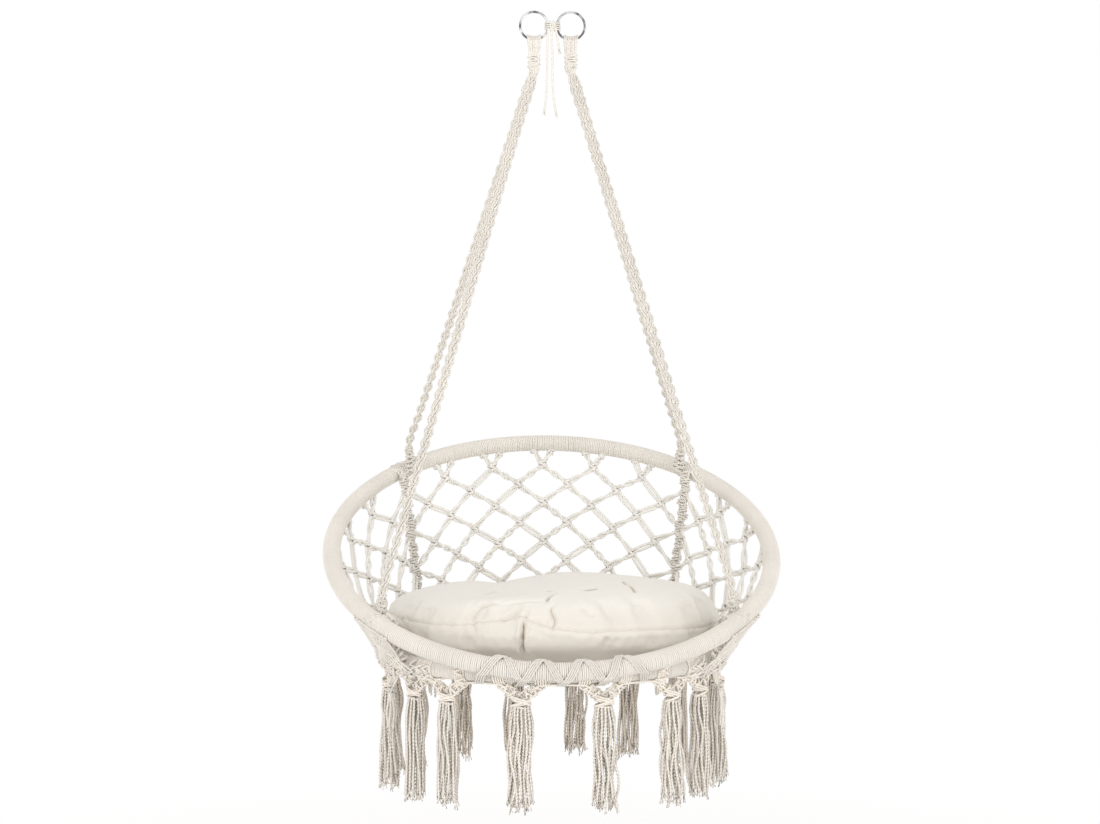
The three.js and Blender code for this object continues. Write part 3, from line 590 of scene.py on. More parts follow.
def material(name, maker, light, dark, bump, metallic=0.0, sheen=0.0, **values):
    """A material whose colour, roughness and bump come from one shared group."""
    made = bpy.data.materials.get(name)
    if made:
        return made
    made = bpy.data.materials.new(name)
    made.use_nodes = True
    n = Nodes(made.node_tree)
    look = n("Group", node_tree=maker(), Light=(*light, 1), Dark=(*dark, 1), **values)
    relief = n("Bump", Strength=bump, Distance=RELIEF_HEIGHT, Height=look["Height"])[0]
    shader = made.node_tree.nodes["Principled BSDF"].inputs
    for key, value in {"Base Color": look["Colour"], "Roughness": look["Roughness"], "Normal": relief,
            "Metallic": metallic, "Sheen Weight": sheen, "Sheen Roughness": 0.5}.items():
        n.link(value, shader[key])
    return made


def shaded(colour, share):
    return tuple(c * share for c in colour)


def cotton(name="Cotton rope", share=1.0, fibre=900.0, seam=0.2, warmth=-0.015):
    """A cotton finish: a share of the chair's own colour, a little warmer or cooler, and how deep its painted
    groove shade goes.
    """
    shares = share * np.array([1, 1 - warmth / 2, 1 - warmth])
    light, dark = (np.array(tone) * shares for tone in (colours().cotton, colours().shade))
    return material(name, fibre_group, light, dark, 0.5, sheen=0.08, Fibre_scale=fibre, Seam_depth=seam)


def whipping_cotton():
    return cotton("Whipping cotton", 0.96, 2400.0, 0.33)


def net_cotton():
    return cotton("Net cotton", 1.01, seam=0.16, warmth=-0.055)


# Shapes made of cords

def wrap_loops(centre, down, across, face, width, depth, count, pitch, cord, lean=0.16, seed=0):
    """Loops of cord wound round a short bundle, leaning one way and then the other."""
    rng = random.Random(seed)
    loops = []
    for i in range(count):
        offset = (i - (count - 1) / 2) * pitch
        tilt = (lean if i % 2 else -lean) * rng.uniform(0.7, 1.3)
        grow = 1 + rng.uniform(-0.05, 0.06)
        turn = rng.uniform(0, 6.28)
        angles = np.linspace(0, 2 * math.pi, 17) + turn
        loop = (np.asarray(centre) + np.asarray(down) * offset
            + np.outer(np.cos(angles) * (width - cord) / 2 * grow, across)
            + np.outer(np.sin(angles) * (depth - cord) / 2 * grow, face)
            + np.outer(np.cos(angles) * tilt * width / 2 + rng.uniform(-0.25, 0.25), down))
        loops.append(loop)
    return loops


def twisted_pair(start, end, face, twist, spread, bow):
    """Two cords side by side that cross over each other between two knots."""
    along = unit(end - start)
    side = unit(np.cross(face, end - start))
    side = unit(side - np.dot(side, along) * along)
    paths = []
    for sign in (-1, 1):
        points = []
        for t in np.linspace(0, 1, 13):
            angle = math.pi * twist * t
            gap = spread * (0.76 + 0.24 * math.sin(math.pi * t))
            points.append(start * (1 - t) + end * t + face * bow * math.sin(math.pi * t)
                + sign * gap * (side * math.cos(angle) + np.cross(along, side) * math.sin(angle)))
        paths.append(rounded(np.array(points), 2))
    return paths


def sennit(path, across, face_hint, width, depth, cord, pitch, seed, zigzag):
    """A chain of square knots along a path: standing cords inside, and loops wound over them."""
    path = resampled(path, pitch)
    along = tangents(path)
    across, face = crosswise(np.tile(across, (len(path), 1)), along)
    if np.dot(face[0], face_hint) < 0:
        face = -face
    loops = []
    rng = random.Random(seed)
    for i in range(1, len(path) - 1):
        knot = i // 3
        shift = zigzag * math.sin(knot * 1.7 + seed)
        swell = 0.95 + 0.13 * math.cos(2 * math.pi * i / 4.5)
        wide = width * swell * rng.uniform(0.95, 1.04)
        loops += wrap_loops(path[i] + across[i] * shift, along[i], across[i], face[i], wide, depth * swell, 1,
            pitch, cord, lean=0.24 if (i // 2) % 2 else -0.2, seed=seed * 97 + i)
    return loops + [path + across * (k - 1.5) * cord * 0.9 for k in range(4)]


# Operators: the pieces

# Width, depth and sideways play of the knots between the hoops, and how far the turns sink into the hoop
SENNITS = {"front": (17.0, 14.0, 1.0), "rear": (21.5, 18.5, 2.4)}
TURNS_SUNK = {"front": 4.4, "rear": 3.7}
PLAIT_HALF_WIDTH = 5.6
PLAIT_HALF_DEPTH = 3.0


def rope_strands(name, route):
    """Six cords: side by side at the collar, plaited down to the back hoop, and flat round it."""
    turn = route["back_turn"]
    stub = route["top"] - Z * 5.1
    approach = [route["top"] + Z * 8, route["top"], stub]
    above = route["above"]
    straight = [stub + (above - stub) * t for t in np.linspace(0.08, 1.0, 12)]
    onward = [turn[-1] + route["onward"] * d for d in (8.0, 16.0, 26.0)]
    path = resampled(np.array(approach + straight + list(turn) + onward), 3.0)
    s = lengths_along(path)
    turn_start = s[np.argmin(np.linalg.norm(path - turn[0], axis=1))]
    turn_end = s[np.argmin(np.linalg.norm(path - turn[-1], axis=1) + np.where(s < turn_start + 40, 1e3, 0))]
    along = tangents(path)
    blend = smooth((s - 0.15 * turn_start) / (0.7 * turn_start))[:, None]
    axis = route["back_axis"]
    reference = np.array([1.0 if axis[0] > 0 else -1.0, 0, 0]) * (1 - blend) + axis * blend
    across, face = crosswise(reference, along)
    nearest = np.argmin(np.abs(s - turn_start - 12))
    radial = path[nearest] - route["back_centre"]
    if np.dot(face[nearest], radial) < 0:
        face = -face
    at_top = 1 - smooth((s - 8) / 34)
    flat = smooth((s - turn_start + 20) / 22) * (1 - smooth((s - turn_end + 4) / 20))
    thick = sizes().cord / MM
    period = sizes().braid / MM
    wide = 1 + 0.28 * (1 - smooth((s - 40) / 130))
    sunk = TURNS_SUNK[name.split("_")[1]]
    rng = random.Random(name)
    strands = []
    for m in range(6):
        k, j = divmod(m, 2)
        phase = 2 * math.pi * (s / period + k / 3) + rng.uniform(-0.1, 0.1)
        pair = (j - 0.5) * thick * 0.98
        braid_u = PLAIT_HALF_WIDTH * wide * np.sin(phase) + pair * (0.86 + 0.14 * np.cos(phase))
        braid_v = PLAIT_HALF_DEPTH * np.sin(2 * phase) + pair * 0.45 * np.sin(phase)
        flat_u = (m - 2.5) * thick * 0.93 + 0 * s
        flat_v = -(ROPE_RADIUS - thick / 2 + sunk) + 0.6 * np.sin(s * 0.11 + m * 2.1)
        top_u = (m - 2.5) * 3.1 + 0 * s
        u = at_top * top_u + (1 - at_top) * ((1 - flat) * braid_u + flat * flat_u)
        v = (1 - at_top) * ((1 - flat) * braid_v + flat * flat_v)
        strands.append(path + across * u[:, None] + face * v[:, None])
    filled = (s > 30) & (s < turn_start - 3)
    for offset in (-2.4, 2.4):
        strands.append(path[filled] + across[filled] * offset)
    down = unit(turn[0] - above)
    side_way = unit(axis - np.dot(axis, down) * down)
    face_way = np.cross(down, side_way)
    for k in range(9):
        middle = turn[0] - down * (34.0 - 4.1 * k)
        strands += wrap_loops(middle, down, side_way, face_way, 19.0 + 1.4 * k, 15.5, 1, 4.2, thick,
            lean=0.3 if k % 2 else -0.3, seed=len(name) + 5 * k)
    return strands


def rope_end(name, route):
    """The lower part: a knotted sennit to the seat hoop, turns round it, and a short fringe."""
    thick = sizes().cord / MM
    turn = route["seat_turn"]
    lower = np.array([route["back_turn"][-1] + route["onward"] * 3, turn[0]])
    rear = name.endswith("rear")
    axis = route["seat_axis"]
    seed = sum(map(ord, name))
    width, depth, zigzag = SENNITS["rear" if rear else "front"]
    cords = sennit(resampled(lower, 8.0), axis, route["outward"], width, depth, thick, 4.6, seed, zigzag)
    one_turn = turn[:TURN_STEPS + 2]
    drop = one_turn[-1]
    hang = [drop - Z * d for d in (12.0, 26.0, 40.0)]
    path = resampled(np.vstack([lower[1:] - route["onward"] * 14, one_turn, hang]), 3.0)
    s = lengths_along(path)
    along = tangents(path)
    across, face = crosswise(np.tile(axis, (len(path), 1)), along)
    mid = len(path) // 3
    if np.dot(face[mid], path[mid] - route["seat_centre"]) < 0:
        face = -face
    end_blend = smooth((s - s[-1] + 34) / 26)
    start_blend = smooth((s - 2) / 16)
    rng = random.Random(seed)
    for m in range(5):
        u = (m - 2) * thick * 0.96 * start_blend * (1 - 0.62 * end_blend) + 0 * s
        v = -(ROPE_RADIUS - thick / 2 + 2.6) * start_blend * (1 - end_blend)
        v = v + end_blend * rng.uniform(-3, 3) + 0.8 * np.sin(s * 0.13 + m * 1.9)
        cords.append(path + across * u[:, None] + face * v[:, None])
    knot = hang[1]
    cords += wrap_loops(knot, -Z, axis, unit(route["outward"]), 15, 13, 4, 3.9, thick, seed=seed)
    cords += fringe(hang[2] + Z * 8, 7, 58.0, 8.0, seed)
    if not rear:
        cords += hitch_fan(-1 if name.startswith("left") else 1, thick)
    return cords


def half_turns(centre, toward, bar, outward, radius, angles):
    """Places round a bar, at angles from the way that leads toward the other bar."""
    first = flattened_unit(toward, bar)
    second = np.cross(bar, first)
    second *= math.copysign(1, np.dot(second, outward))
    return [centre + radius * (first * math.cos(a) + second * math.sin(a)) for a in np.radians(angles)]


def hitch_fan(side, thick):
    """Crossed cords and square knots that spread from a front hitch and cover the seat hoop below it."""
    cords = []
    rng = random.Random(side + 70)
    count = 21
    for k in range(count):
        share = k / (count - 1) - 0.5
        upper_angle = side * (BACK_HITCHES["front"] - 1.5 + share * 12.0)
        lower_angle = side * (SEAT_HITCHES["front"] + (-share if k % 2 else share * 0.6) * 32.0)
        upper, lower = on_back_hoop(upper_angle), on_seat_hoop(lower_angle)
        outward = unit(lower)
        radius = WRAP_RADIUS + thick / 2 - 0.3
        over = half_turns(upper, lower - upper, unit(back_bar(upper_angle)), outward, radius,
            np.linspace(112, 70, 4))
        under = half_turns(lower, upper - lower, seat_bar(lower_angle), outward, radius,
            np.linspace(80, 280, 9))
        lift = outward * (2.5 if k % 2 else -1.5)
        between = [over[-1] * (1 - t) + under[0] * t + lift for t in (0.3, 0.55, 0.8)]
        cords.append(rounded(np.array(over + between + under), 3))
    upper = on_back_hoop(side * BACK_HITCHES["front"])
    for row, fall in enumerate((0.14, 0.34, 0.54, 0.74)):
        for k in range(row + 1):
            share = (k - row / 2) * 8.5
            lower = on_seat_hoop(side * (SEAT_HITCHES["front"] + share))
            down = unit(lower - upper)
            outward = unit(lower)
            middle = upper + (lower - upper) * fall + outward * (WRAP_RADIUS - 1)
            across = unit(np.cross(outward, down))
            cords += wrap_loops(middle, down, across, np.cross(down, across), 26.0, 12.5, 4, 4.4, thick,
                lean=0.3, seed=row * 5 + k + 3 * side)
    for row in range(2):
        for k in range(8):
            angle = side * (48.0 + 5.4 * (k + 0.5 * row) + rng.uniform(-0.8, 0.8))
            outward = unit(hoop_point(1, angle))
            tangent = unit(seat_bar(angle))
            middle = on_seat_hoop(angle) + outward * (WRAP_RADIUS + 0.5 - row * 5)
            middle += Z * (3.0 - 15.0 * row)
            down = unit(-Z + tangent * rng.uniform(-0.5, 0.5) - outward * 0.5 * row)
            across = unit(np.cross(outward, down))
            cords += wrap_loops(middle, down, across, np.cross(down, across), 23.0, 10.0, 3, 4.4, thick,
                lean=0.34, seed=row * 11 + k + side)
    return cords


def fringe(top, count, length, spread, seed):
    """Loose strands that hang from one place."""
    rng = random.Random(seed)
    out = []
    for i in range(count):
        angle = 2 * math.pi * (i + rng.uniform(-0.3, 0.3)) / count
        reach = spread * rng.uniform(0.45, 1.0)
        fall = length * rng.uniform(0.82, 1.08)
        sway = rng.uniform(0, 6.28)
        points = []
        for t in np.linspace(0, 1, 9):
            r = reach * (0.35 + 0.65 * smooth(t * 1.6))
            wave = 1.5 * math.sin(sway + t * 7.0) * t
            swing = 1.2 * math.cos(sway + t * 6.0) * t
            points.append(top + [r * math.cos(angle) + wave, r * math.sin(angle) + swing, -fall * t])
        out.append(rounded(np.array(points), 3))
    return out


def frayed(paths, length, seed, plies=3, spread=1.8):
    """Thin loose yarns that carry on from the ends of the strands."""
    rng = random.Random(seed)
    out = []
    for path in paths:
        end, before = path[-1], path[-3]
        along = unit(end - before)
        for k in range(plies):
            angle = 2 * math.pi * (k + rng.uniform(-0.3, 0.3)) / plies
            side = np.array([math.cos(angle), math.sin(angle), 0.0])
            run = length * rng.uniform(0.6, 1.25)
            bent, tip = rng.uniform(0.6, 1.2), rng.uniform(0.6, 1.7)
            places = ((-2.5, 0, 0.6), (0, 0.4, spread * 0.6), (0, 0.75, spread * bent), (0, 1, spread * tip))
            out.append(np.array([end + along * (back + run * share) + side * away
                for back, share, away in places]))
    return out


class HAMMOCK_OT_rings(Operator):
    """Two polished steel rings, each closed by a small weld"""
    bl_idname = "hammock.rings"
    bl_label = "Hanging rings"

    def execute(self, context):
        c = colours()
        steel = material("Polished steel", scratch_group, c.steel, shaded(c.steel, 0.2), 0.04, metallic=1.0,
            Low=0.06, High=0.2, Mark_scale=260.0)
        for name, side in SIDES:
            centre = np.array([side * RING_SPACING / 2, HANG_SET_BACK, HANG_HEIGHT])
            angles = np.linspace(0, 2 * math.pi, 96, endpoint=False)
            path = centre + RING_RADIUS * np.stack([np.cos(angles), 0 * angles, np.sin(angles)], axis=1)
            weld = 1 + 0.07 * np.exp(-((angles - 3.9) * RING_RADIUS / 1.4) ** 2)
            ring = lay_cords(f"steel_ring_{name}", [path], 1.8 * RING_WIRE_RADIUS * MM, steel, depth=0.0,
                sides=16, step=0.0012, radii=[weld], cyclic=True)
            finish_piece(ring, "hanger", "ring_chrome", f"hanging_ring_{name}")
        return {"FINISHED"}


class HAMMOCK_OT_tie(Operator):
    """The tie that binds the two rings, with its three loose tails"""
    bl_idname = "hammock.tie"
    bl_label = "Ring tie and tails"

    def execute(self, context):
        finish = cotton()
        centre = np.array([0.0, HANG_SET_BACK, HANG_HEIGHT])
        cord = 3.6
        reach = RING_SPACING / 2 - RING_RADIUS + 0.35
        bend = RING_WIRE_RADIUS + 0.3 + 0.35 + cord / 2
        loops = []
        turns, pitch = 4, 3.7
        for i in range(turns * 16 + 1):
            angle = 2 * math.pi * i / 16
            x = max(-1.0, min(1.0, 1.5 * math.cos(angle)))
            y = math.sin(angle)
            loops.append(centre + np.array([x * reach + bend * math.cos(angle) * abs(math.cos(angle)),
                bend * math.copysign(min(1.0, abs(y) * 1.25), y), pitch * (turns / 2 - i / 16)]))
        winding = [rounded(np.array(loops), 2)]
        winding += wrap_loops(centre, X, Z, Y, 19.5, 15.5, 3, 3.4, 3.2, lean=0.1, seed=3)
        tie = lay_cords("tie_windings", winding, cord * MM, finish, lay=0.012)
        finish_piece(tie, "hanger", "rope_cotton", "ring_tie")
        for name, route in TAIL_ROUTES.items():
            points = centre + np.array(route, float) + Z * TAIL_TOP
            line = resampled(points, 3.0)
            tail = lay_cords(f"{name}_cord", [line], cord * MM * 1.2, finish, lay=0.02, depth=0.1, plies=2,
                sides=10, step=0.0015)
            tuft = lay_cords(f"{name}_fray", frayed([line], 9.0, len(name), plies=5, spread=2.2), 0.0011,
                finish, depth=0.0, sides=5, step=0.003)
            finish_piece(tail, "hanger", "rope_cotton", name)
            finish_piece(tuft, "hanger", "rope_cotton")
        return {"FINISHED"}


class HAMMOCK_OT_eyes(Operator):
    """The cords that fan over each ring wire, and the collar wound round them"""
    bl_idname = "hammock.eyes"
    bl_label = "Rope eyes and collars"

    def execute(self, context):
        finish = cotton()
        thick = sizes().cord / MM
        for name, side in SIDES:
            centre = np.array([side * RING_SPACING / 2, HANG_SET_BACK, HANG_HEIGHT])
            cords = []
            rng = random.Random(name)
            for m in range(8):
                x = (m - 3.5) * 3.1
                wire = centre + np.array([x, 0, -math.sqrt(RING_RADIUS ** 2 - x ** 2)])
                over = RING_WIRE_RADIUS + thick / 2 + 0.55
                arch = [wire + over * (Y * math.cos(a) + Z * math.sin(a)) for a in np.linspace(math.pi, 0, 7)]
                low = (m - 3.5) * 2.3
                bend = (low + x) / 2 + rng.uniform(-1.3, 1.3)
                stem = ((low, -2.6, CORE_BOTTOM - 2), (low, -2.8, CORE_TOP - 6), (bend, -4.6, CORE_TOP + 8))
                front = [np.array([centre[0] + u, HANG_SET_BACK + v, z]) for u, v, z in stem]
                rear = [p * [1, -1, 1] + Y * 2 * HANG_SET_BACK for p in reversed(front)]
                cords.append(rounded(np.array(front + arch + rear), 3))
            eye = lay_cords(f"ring_cords_{name}", cords, sizes().cord, finish)
            finish_piece(eye, "chair", "rope_cotton", f"rope_eye_{name}")
            middle = np.array([centre[0], HANG_SET_BACK, (CORE_TOP + CORE_BOTTOM) / 2 - 1])
            loops = wrap_loops(middle, -Z, X, Y, 24.5, 16.5, 5, 4.1, 3.8, lean=0.14, seed=side + 5)
            collar = lay_cords(f"collar_wraps_{name}", loops, 0.0038, finish, lay=0.012)
            finish_piece(collar, "chair", "rope_cotton", f"rope_collar_{name}")
        return {"FINISHED"}


class HAMMOCK_OT_ropes(Operator):
    """Four plaited ropes with their hitches, sennits and fringes"""
    bl_idname = "hammock.ropes"
    bl_label = "Ropes"

    def execute(self, context):
        finish = cotton()
        for name, route in ROPES.items():
            cords = rope_strands(name, route) + rope_end(name, route)
            rope = lay_cords(f"plait_{name}", cords, sizes().cord, finish, seed=len(name))
            finish_piece(rope, "chair", "rope_cotton", f"rope_{name}")
        return {"FINISHED"}


# How deep the whipping's turns lie in the hoop, in millimetres, and their cord's radius, in metres
WHIPPING_DEPTH = 1.75
WHIPPING_CORD_RADIUS = 0.00185


class HAMMOCK_OT_whipping(Operator):
    """Cotton wound turn by turn round both hoops, between the hitches"""
    bl_idname = "hammock.whipping"
    bl_label = "Hoop whipping"

    def execute(self, context):
        finish = whipping_cotton()
        hoops = (("back_hoop", BACK_HOOP_RADIUS, BACK_HITCHES, on_back_hoop),
            ("seat_hoop", SEAT_HOOP_RADIUS, SEAT_HITCHES, on_seat_hoop))
        for hoop, radius, hitches, at in hoops:
            front, rear = hitches["front"], hitches["rear"]
            upright = tuple(BACK_TURN @ Z if hoop == "back_hoop" else Z)
            arcs = {"front": (-front, front), "right": (front, rear), "rear": (rear, 360 - rear),
                "left": (360 - rear, 360 - front)}
            for i, (place, (start, end)) in enumerate(arcs.items()):
                inset = math.degrees(1.9 / radius)
                count = max(8, int((end - start) / 1.5))
                path = np.array([at(d) for d in np.linspace(start + inset, end - inset, count)])
                turns = lengths_along(path)[-1] * MM / sizes().whipping
                values = {"Pitch": sizes().whipping * turns / round(turns), "Seed": i * 7 + len(hoop),
                    "Upright": upright, "Turn radius": (WRAP_RADIUS - WHIPPING_DEPTH) * MM,
                    "Cord radius": WHIPPING_CORD_RADIUS, "Material": finish}
                piece = grown_mesh(curve_object(f"{hoop}_{place}_line", [path]), whipping_tree(), values,
                    f"{hoop}_turns_{place}")
                finish_piece(piece, "chair", "hoop_whipping", f"{hoop}_whipping_{place}")
        return {"FINISHED"}


def net_cords(knots, frame_of, end_of, seed):
    """Paired cords between knots of three loops, and pairs that run to a small knot at the edge."""
    rng = random.Random(seed)
    thick = sizes().net_cord / MM
    cords = []
    for column, row in knots:
        centre, across, down, face = frame_of(column, row)
        width = NET_KNOT_WIDTH * rng.uniform(0.93, 1.08)
        cords += wrap_loops(centre, down, across, face, width, NET_KNOT_DEPTH, 3, NET_LOOP_PITCH, thick,
            lean=0.26, seed=seed + column * 31 + row * 7)
        for step, fall in ((-1, 1), (-1, -1), (1, 1), (1, -1)):
            other = (column + step, row + fall)
            if fall < 0 and other in knots:
                continue
            corner = centre + (across * step * NET_CORNER[0] + down * fall * NET_CORNER[1])
            if other in knots:
                centre_2, across_2, down_2, _ = frame_of(*other)
                end = centre_2 - (across_2 * step * NET_CORNER[0] + down_2 * NET_CORNER[1])
            else:
                end, edge = end_of(column, row, step, fall)
                if edge:
                    cords += edge_knot(corner, end, face, edge, thick, seed + column * (6 - fall) + row)
            twists, least, most = ((0, 0, 1, 1, 2), 3.2, 3.8) if fall > 0 else ((0, 1, 1, 2), 3.1, 3.6)
            cords += twisted_pair(corner, end, face, rng.choice(twists), rng.uniform(least, most),
                rng.uniform(-1, 1))
    return cords


def edge_knot(start, end, face, reach, thick, seed):
    """Two loops where a pair of cords meets a hoop whose surface lies a given reach from the end."""
    along = unit(end - start)
    across = unit(np.cross(face, along))
    return wrap_loops(end - along * (reach + 2.2), along, across, face, 17.5, 13.5, 2, NET_LOOP_PITCH, thick,
        lean=0.2, seed=seed)


class HAMMOCK_OT_back_net(Operator):
    """The knotted net between the hoops, in three panels between the ropes"""
    bl_idname = "hammock.back_net"
    bl_label = "Back net"

    def execute(self, context):
        finish = net_cotton()
        panels = {"rear": (-COLUMN_AT_REAR, COLUMN_AT_REAR), "left": (-COLUMN_AT_FRONT, -COLUMN_AT_REAR),
            "right": (COLUMN_AT_REAR, COLUMN_AT_FRONT)}
        for name, (first, last) in panels.items():
            knots = [(c, r) for c in range(first + 1, last) for r in range(1, 12)
                if row_in_span(c, r) and (c + r) % 2]

            def frame_of(column, row):
                distance = row_distance(row)
                across = net_point(column + 0.5, distance) - net_point(column - 0.5, distance)
                top, bottom = column_ends(column)
                face = unit(np.cross(across, bottom - top))
                down = unit(bottom - top)
                return net_point(column, distance), unit(np.cross(down, face)), down, face

            def end_of(column, row, step, fall):
                beside = column + step
                if beside in (first, last) and row_in_span(beside, row + fall):
                    return net_point(beside, row_distance(row + fall)), 0
                top, bottom = column_ends(column + step / 2)
                return (bottom, WRAP_RADIUS) if fall > 0 else (top, WRAP_RADIUS)

            cords = net_cords(knots, frame_of, end_of, seed=40 + first)
            net = lay_cords(f"knotted_net_{name}", cords, sizes().net_cord, finish, seed=first + 30)
            finish_piece(net, "chair", "net_cord", f"back_net_{name}")
        return {"FINISHED"}


class HAMMOCK_OT_seat_net(Operator):
    """The knotted net under the cushion"""
    bl_idname = "hammock.seat_net"
    bl_label = "Seat net"

    def execute(self, context):
        finish = net_cotton()
        reach = SEAT_HOOP_RADIUS - WRAP_RADIUS
        most = math.ceil(reach / SEAT_NET_PITCH)
        place = lambda c, r: np.array([c * SEAT_NET_PITCH, -r * SEAT_NET_PITCH, -0.6])
        knots = [(c, r) for c in range(-most, most + 1) for r in range(-most, most + 1)
            if (c + r) % 2 == 0 and math.hypot(c, r) * SEAT_NET_PITCH < reach]
        frame_of = lambda c, r: (place(c, r), X, -Y, Z)

        def end_of(column, row, step, fall):
            start = place(column, row)
            direction = unit(np.array([step, -fall, 0.0]))
            along = np.dot(start[:2], direction[:2])
            run = math.sqrt(along ** 2 + SEAT_HOOP_RADIUS ** 2 - np.dot(start[:2], start[:2])) - along
            return start + direction * run, WRAP_RADIUS

        cords = net_cords(knots, frame_of, end_of, seed=11)
        net = lay_cords("knotted_seat", cords, sizes().net_cord, finish, seed=77)
        finish_piece(net, "chair", "net_cord", "seat_net")
        return {"FINISHED"}


def lacing_paths(direction, cords, lift):
    """Cords that wind side by side round both front bars, one way or the other."""
    per_bar = 8
    per_turn = 2 * per_bar
    out = []
    for k in range(cords):
        points = []
        for step in range(LACING_TURNS * per_turn + 1):
            across = direction * LACING_PITCH * ((step + 0.5) / per_turn - LACING_TURNS / 2)
            across += (k - (cords - 1) / 2) * 3.5
            place = (step + per_bar) % per_turn
            outer_degrees = math.degrees(math.asin(across / BACK_HOOP_RADIUS))
            inner_degrees = math.degrees(math.asin(across / SEAT_HOOP_RADIUS))
            outer, inner = on_back_hoop(outer_degrees), on_seat_hoop(inner_degrees)
            on_outer = place < per_bar
            bar = back_bar(outer_degrees) if on_outer else seat_bar(inner_degrees)
            away = flattened_unit(outer - inner, unit(bar))
            above = np.cross(away, unit(bar))
            above *= math.copysign(1, above[2])
            turned = (place if on_outer else place - per_bar) / (per_bar - 1)
            angle = math.pi * (0.5 - turned)
            sign = 1 if on_outer else -1
            radius = (WRAP_RADIUS + 1.2 + lift) / math.cos(math.pi / (2 * per_bar - 2))
            points.append((outer if on_outer else inner) + away * sign * radius * math.cos(angle)
                + above * sign * radius * math.sin(angle))
        out.append(rounded(np.array(points), 2))
    return out


class HAMMOCK_OT_lacing(Operator):
    """The crossed lacing that binds the two hoops together at the front"""
    bl_idname = "hammock.lacing"
    bl_label = "Front lacing"

    def execute(self, context):
        finish = whipping_cotton()
        cords = lacing_paths(1, 4, -0.3) + lacing_paths(-1, 4, 1.3)
        lacing = lay_cords("crossed_lacing", cords, 0.0036, finish, lay=0.011, depth=0.1)
        finish_piece(lacing, "chair", "hoop_whipping", "front_lacing")
        return {"FINISHED"}


class HAMMOCK_OT_tassels(Operator):
    """Sixteen tassels, each of two knotted legs, a gathering knot and twisted strands"""
    bl_idname = "hammock.tassels"
    bl_label = "Tassels"

    def execute(self, context):
        # Painted light and shade: the front tassels take a lighter copy of the cotton, and the tassels at the
        # back a darker, warmer copy with deeper painted groove shade
        finish = cotton("Lit tassel cotton", 1.05, 800.0, 0.1, 0.02)
        shaded_rear_cotton = cotton("Rear tassel cotton", 1.0, 800.0, 0.16, 0.08)
        places = TASSEL_PLACES + [-d for d in reversed(TASSEL_PLACES)]
        for i, degrees in enumerate(places):
            name = f"{i + 1:02d}"
            shown = shaded_rear_cotton if abs(degrees) > 95 else finish
            knots = lay_cords(f"tassel_knots_{name}", tassel_legs(degrees, i), sizes().cord, shown,
                depth=0.18, step=0.0031, sides=7, seed=i)
            hanging = tassel_strands(degrees, i)
            skirt = lay_cords(f"tassel_strands_{name}", hanging, sizes().strand, shown, lay=0.018, depth=0.2,
                step=0.003, sides=6, seed=i + 40)
            ends = lay_cords(f"tassel_ends_{name}", frayed(hanging, 10.0, i, spread=2.6), 0.0019, shown,
                depth=0.0, sides=4, step=0.005)
            tassel = joined(f"tassel_cords_{name}", [knots, skirt, ends])
            finish_piece(tassel, "chair", "tassel_cotton", f"tassel_{name}")
        return {"FINISHED"}


def tassel_axes(degrees):
    """The ways out and along the hoop at a tassel, and the place of its gathering knot."""
    centre = on_seat_hoop(degrees)
    return unit(centre), unit(seat_bar(degrees)), centre - Z * (WRAP_RADIUS + TASSEL_KNOT_DROP)


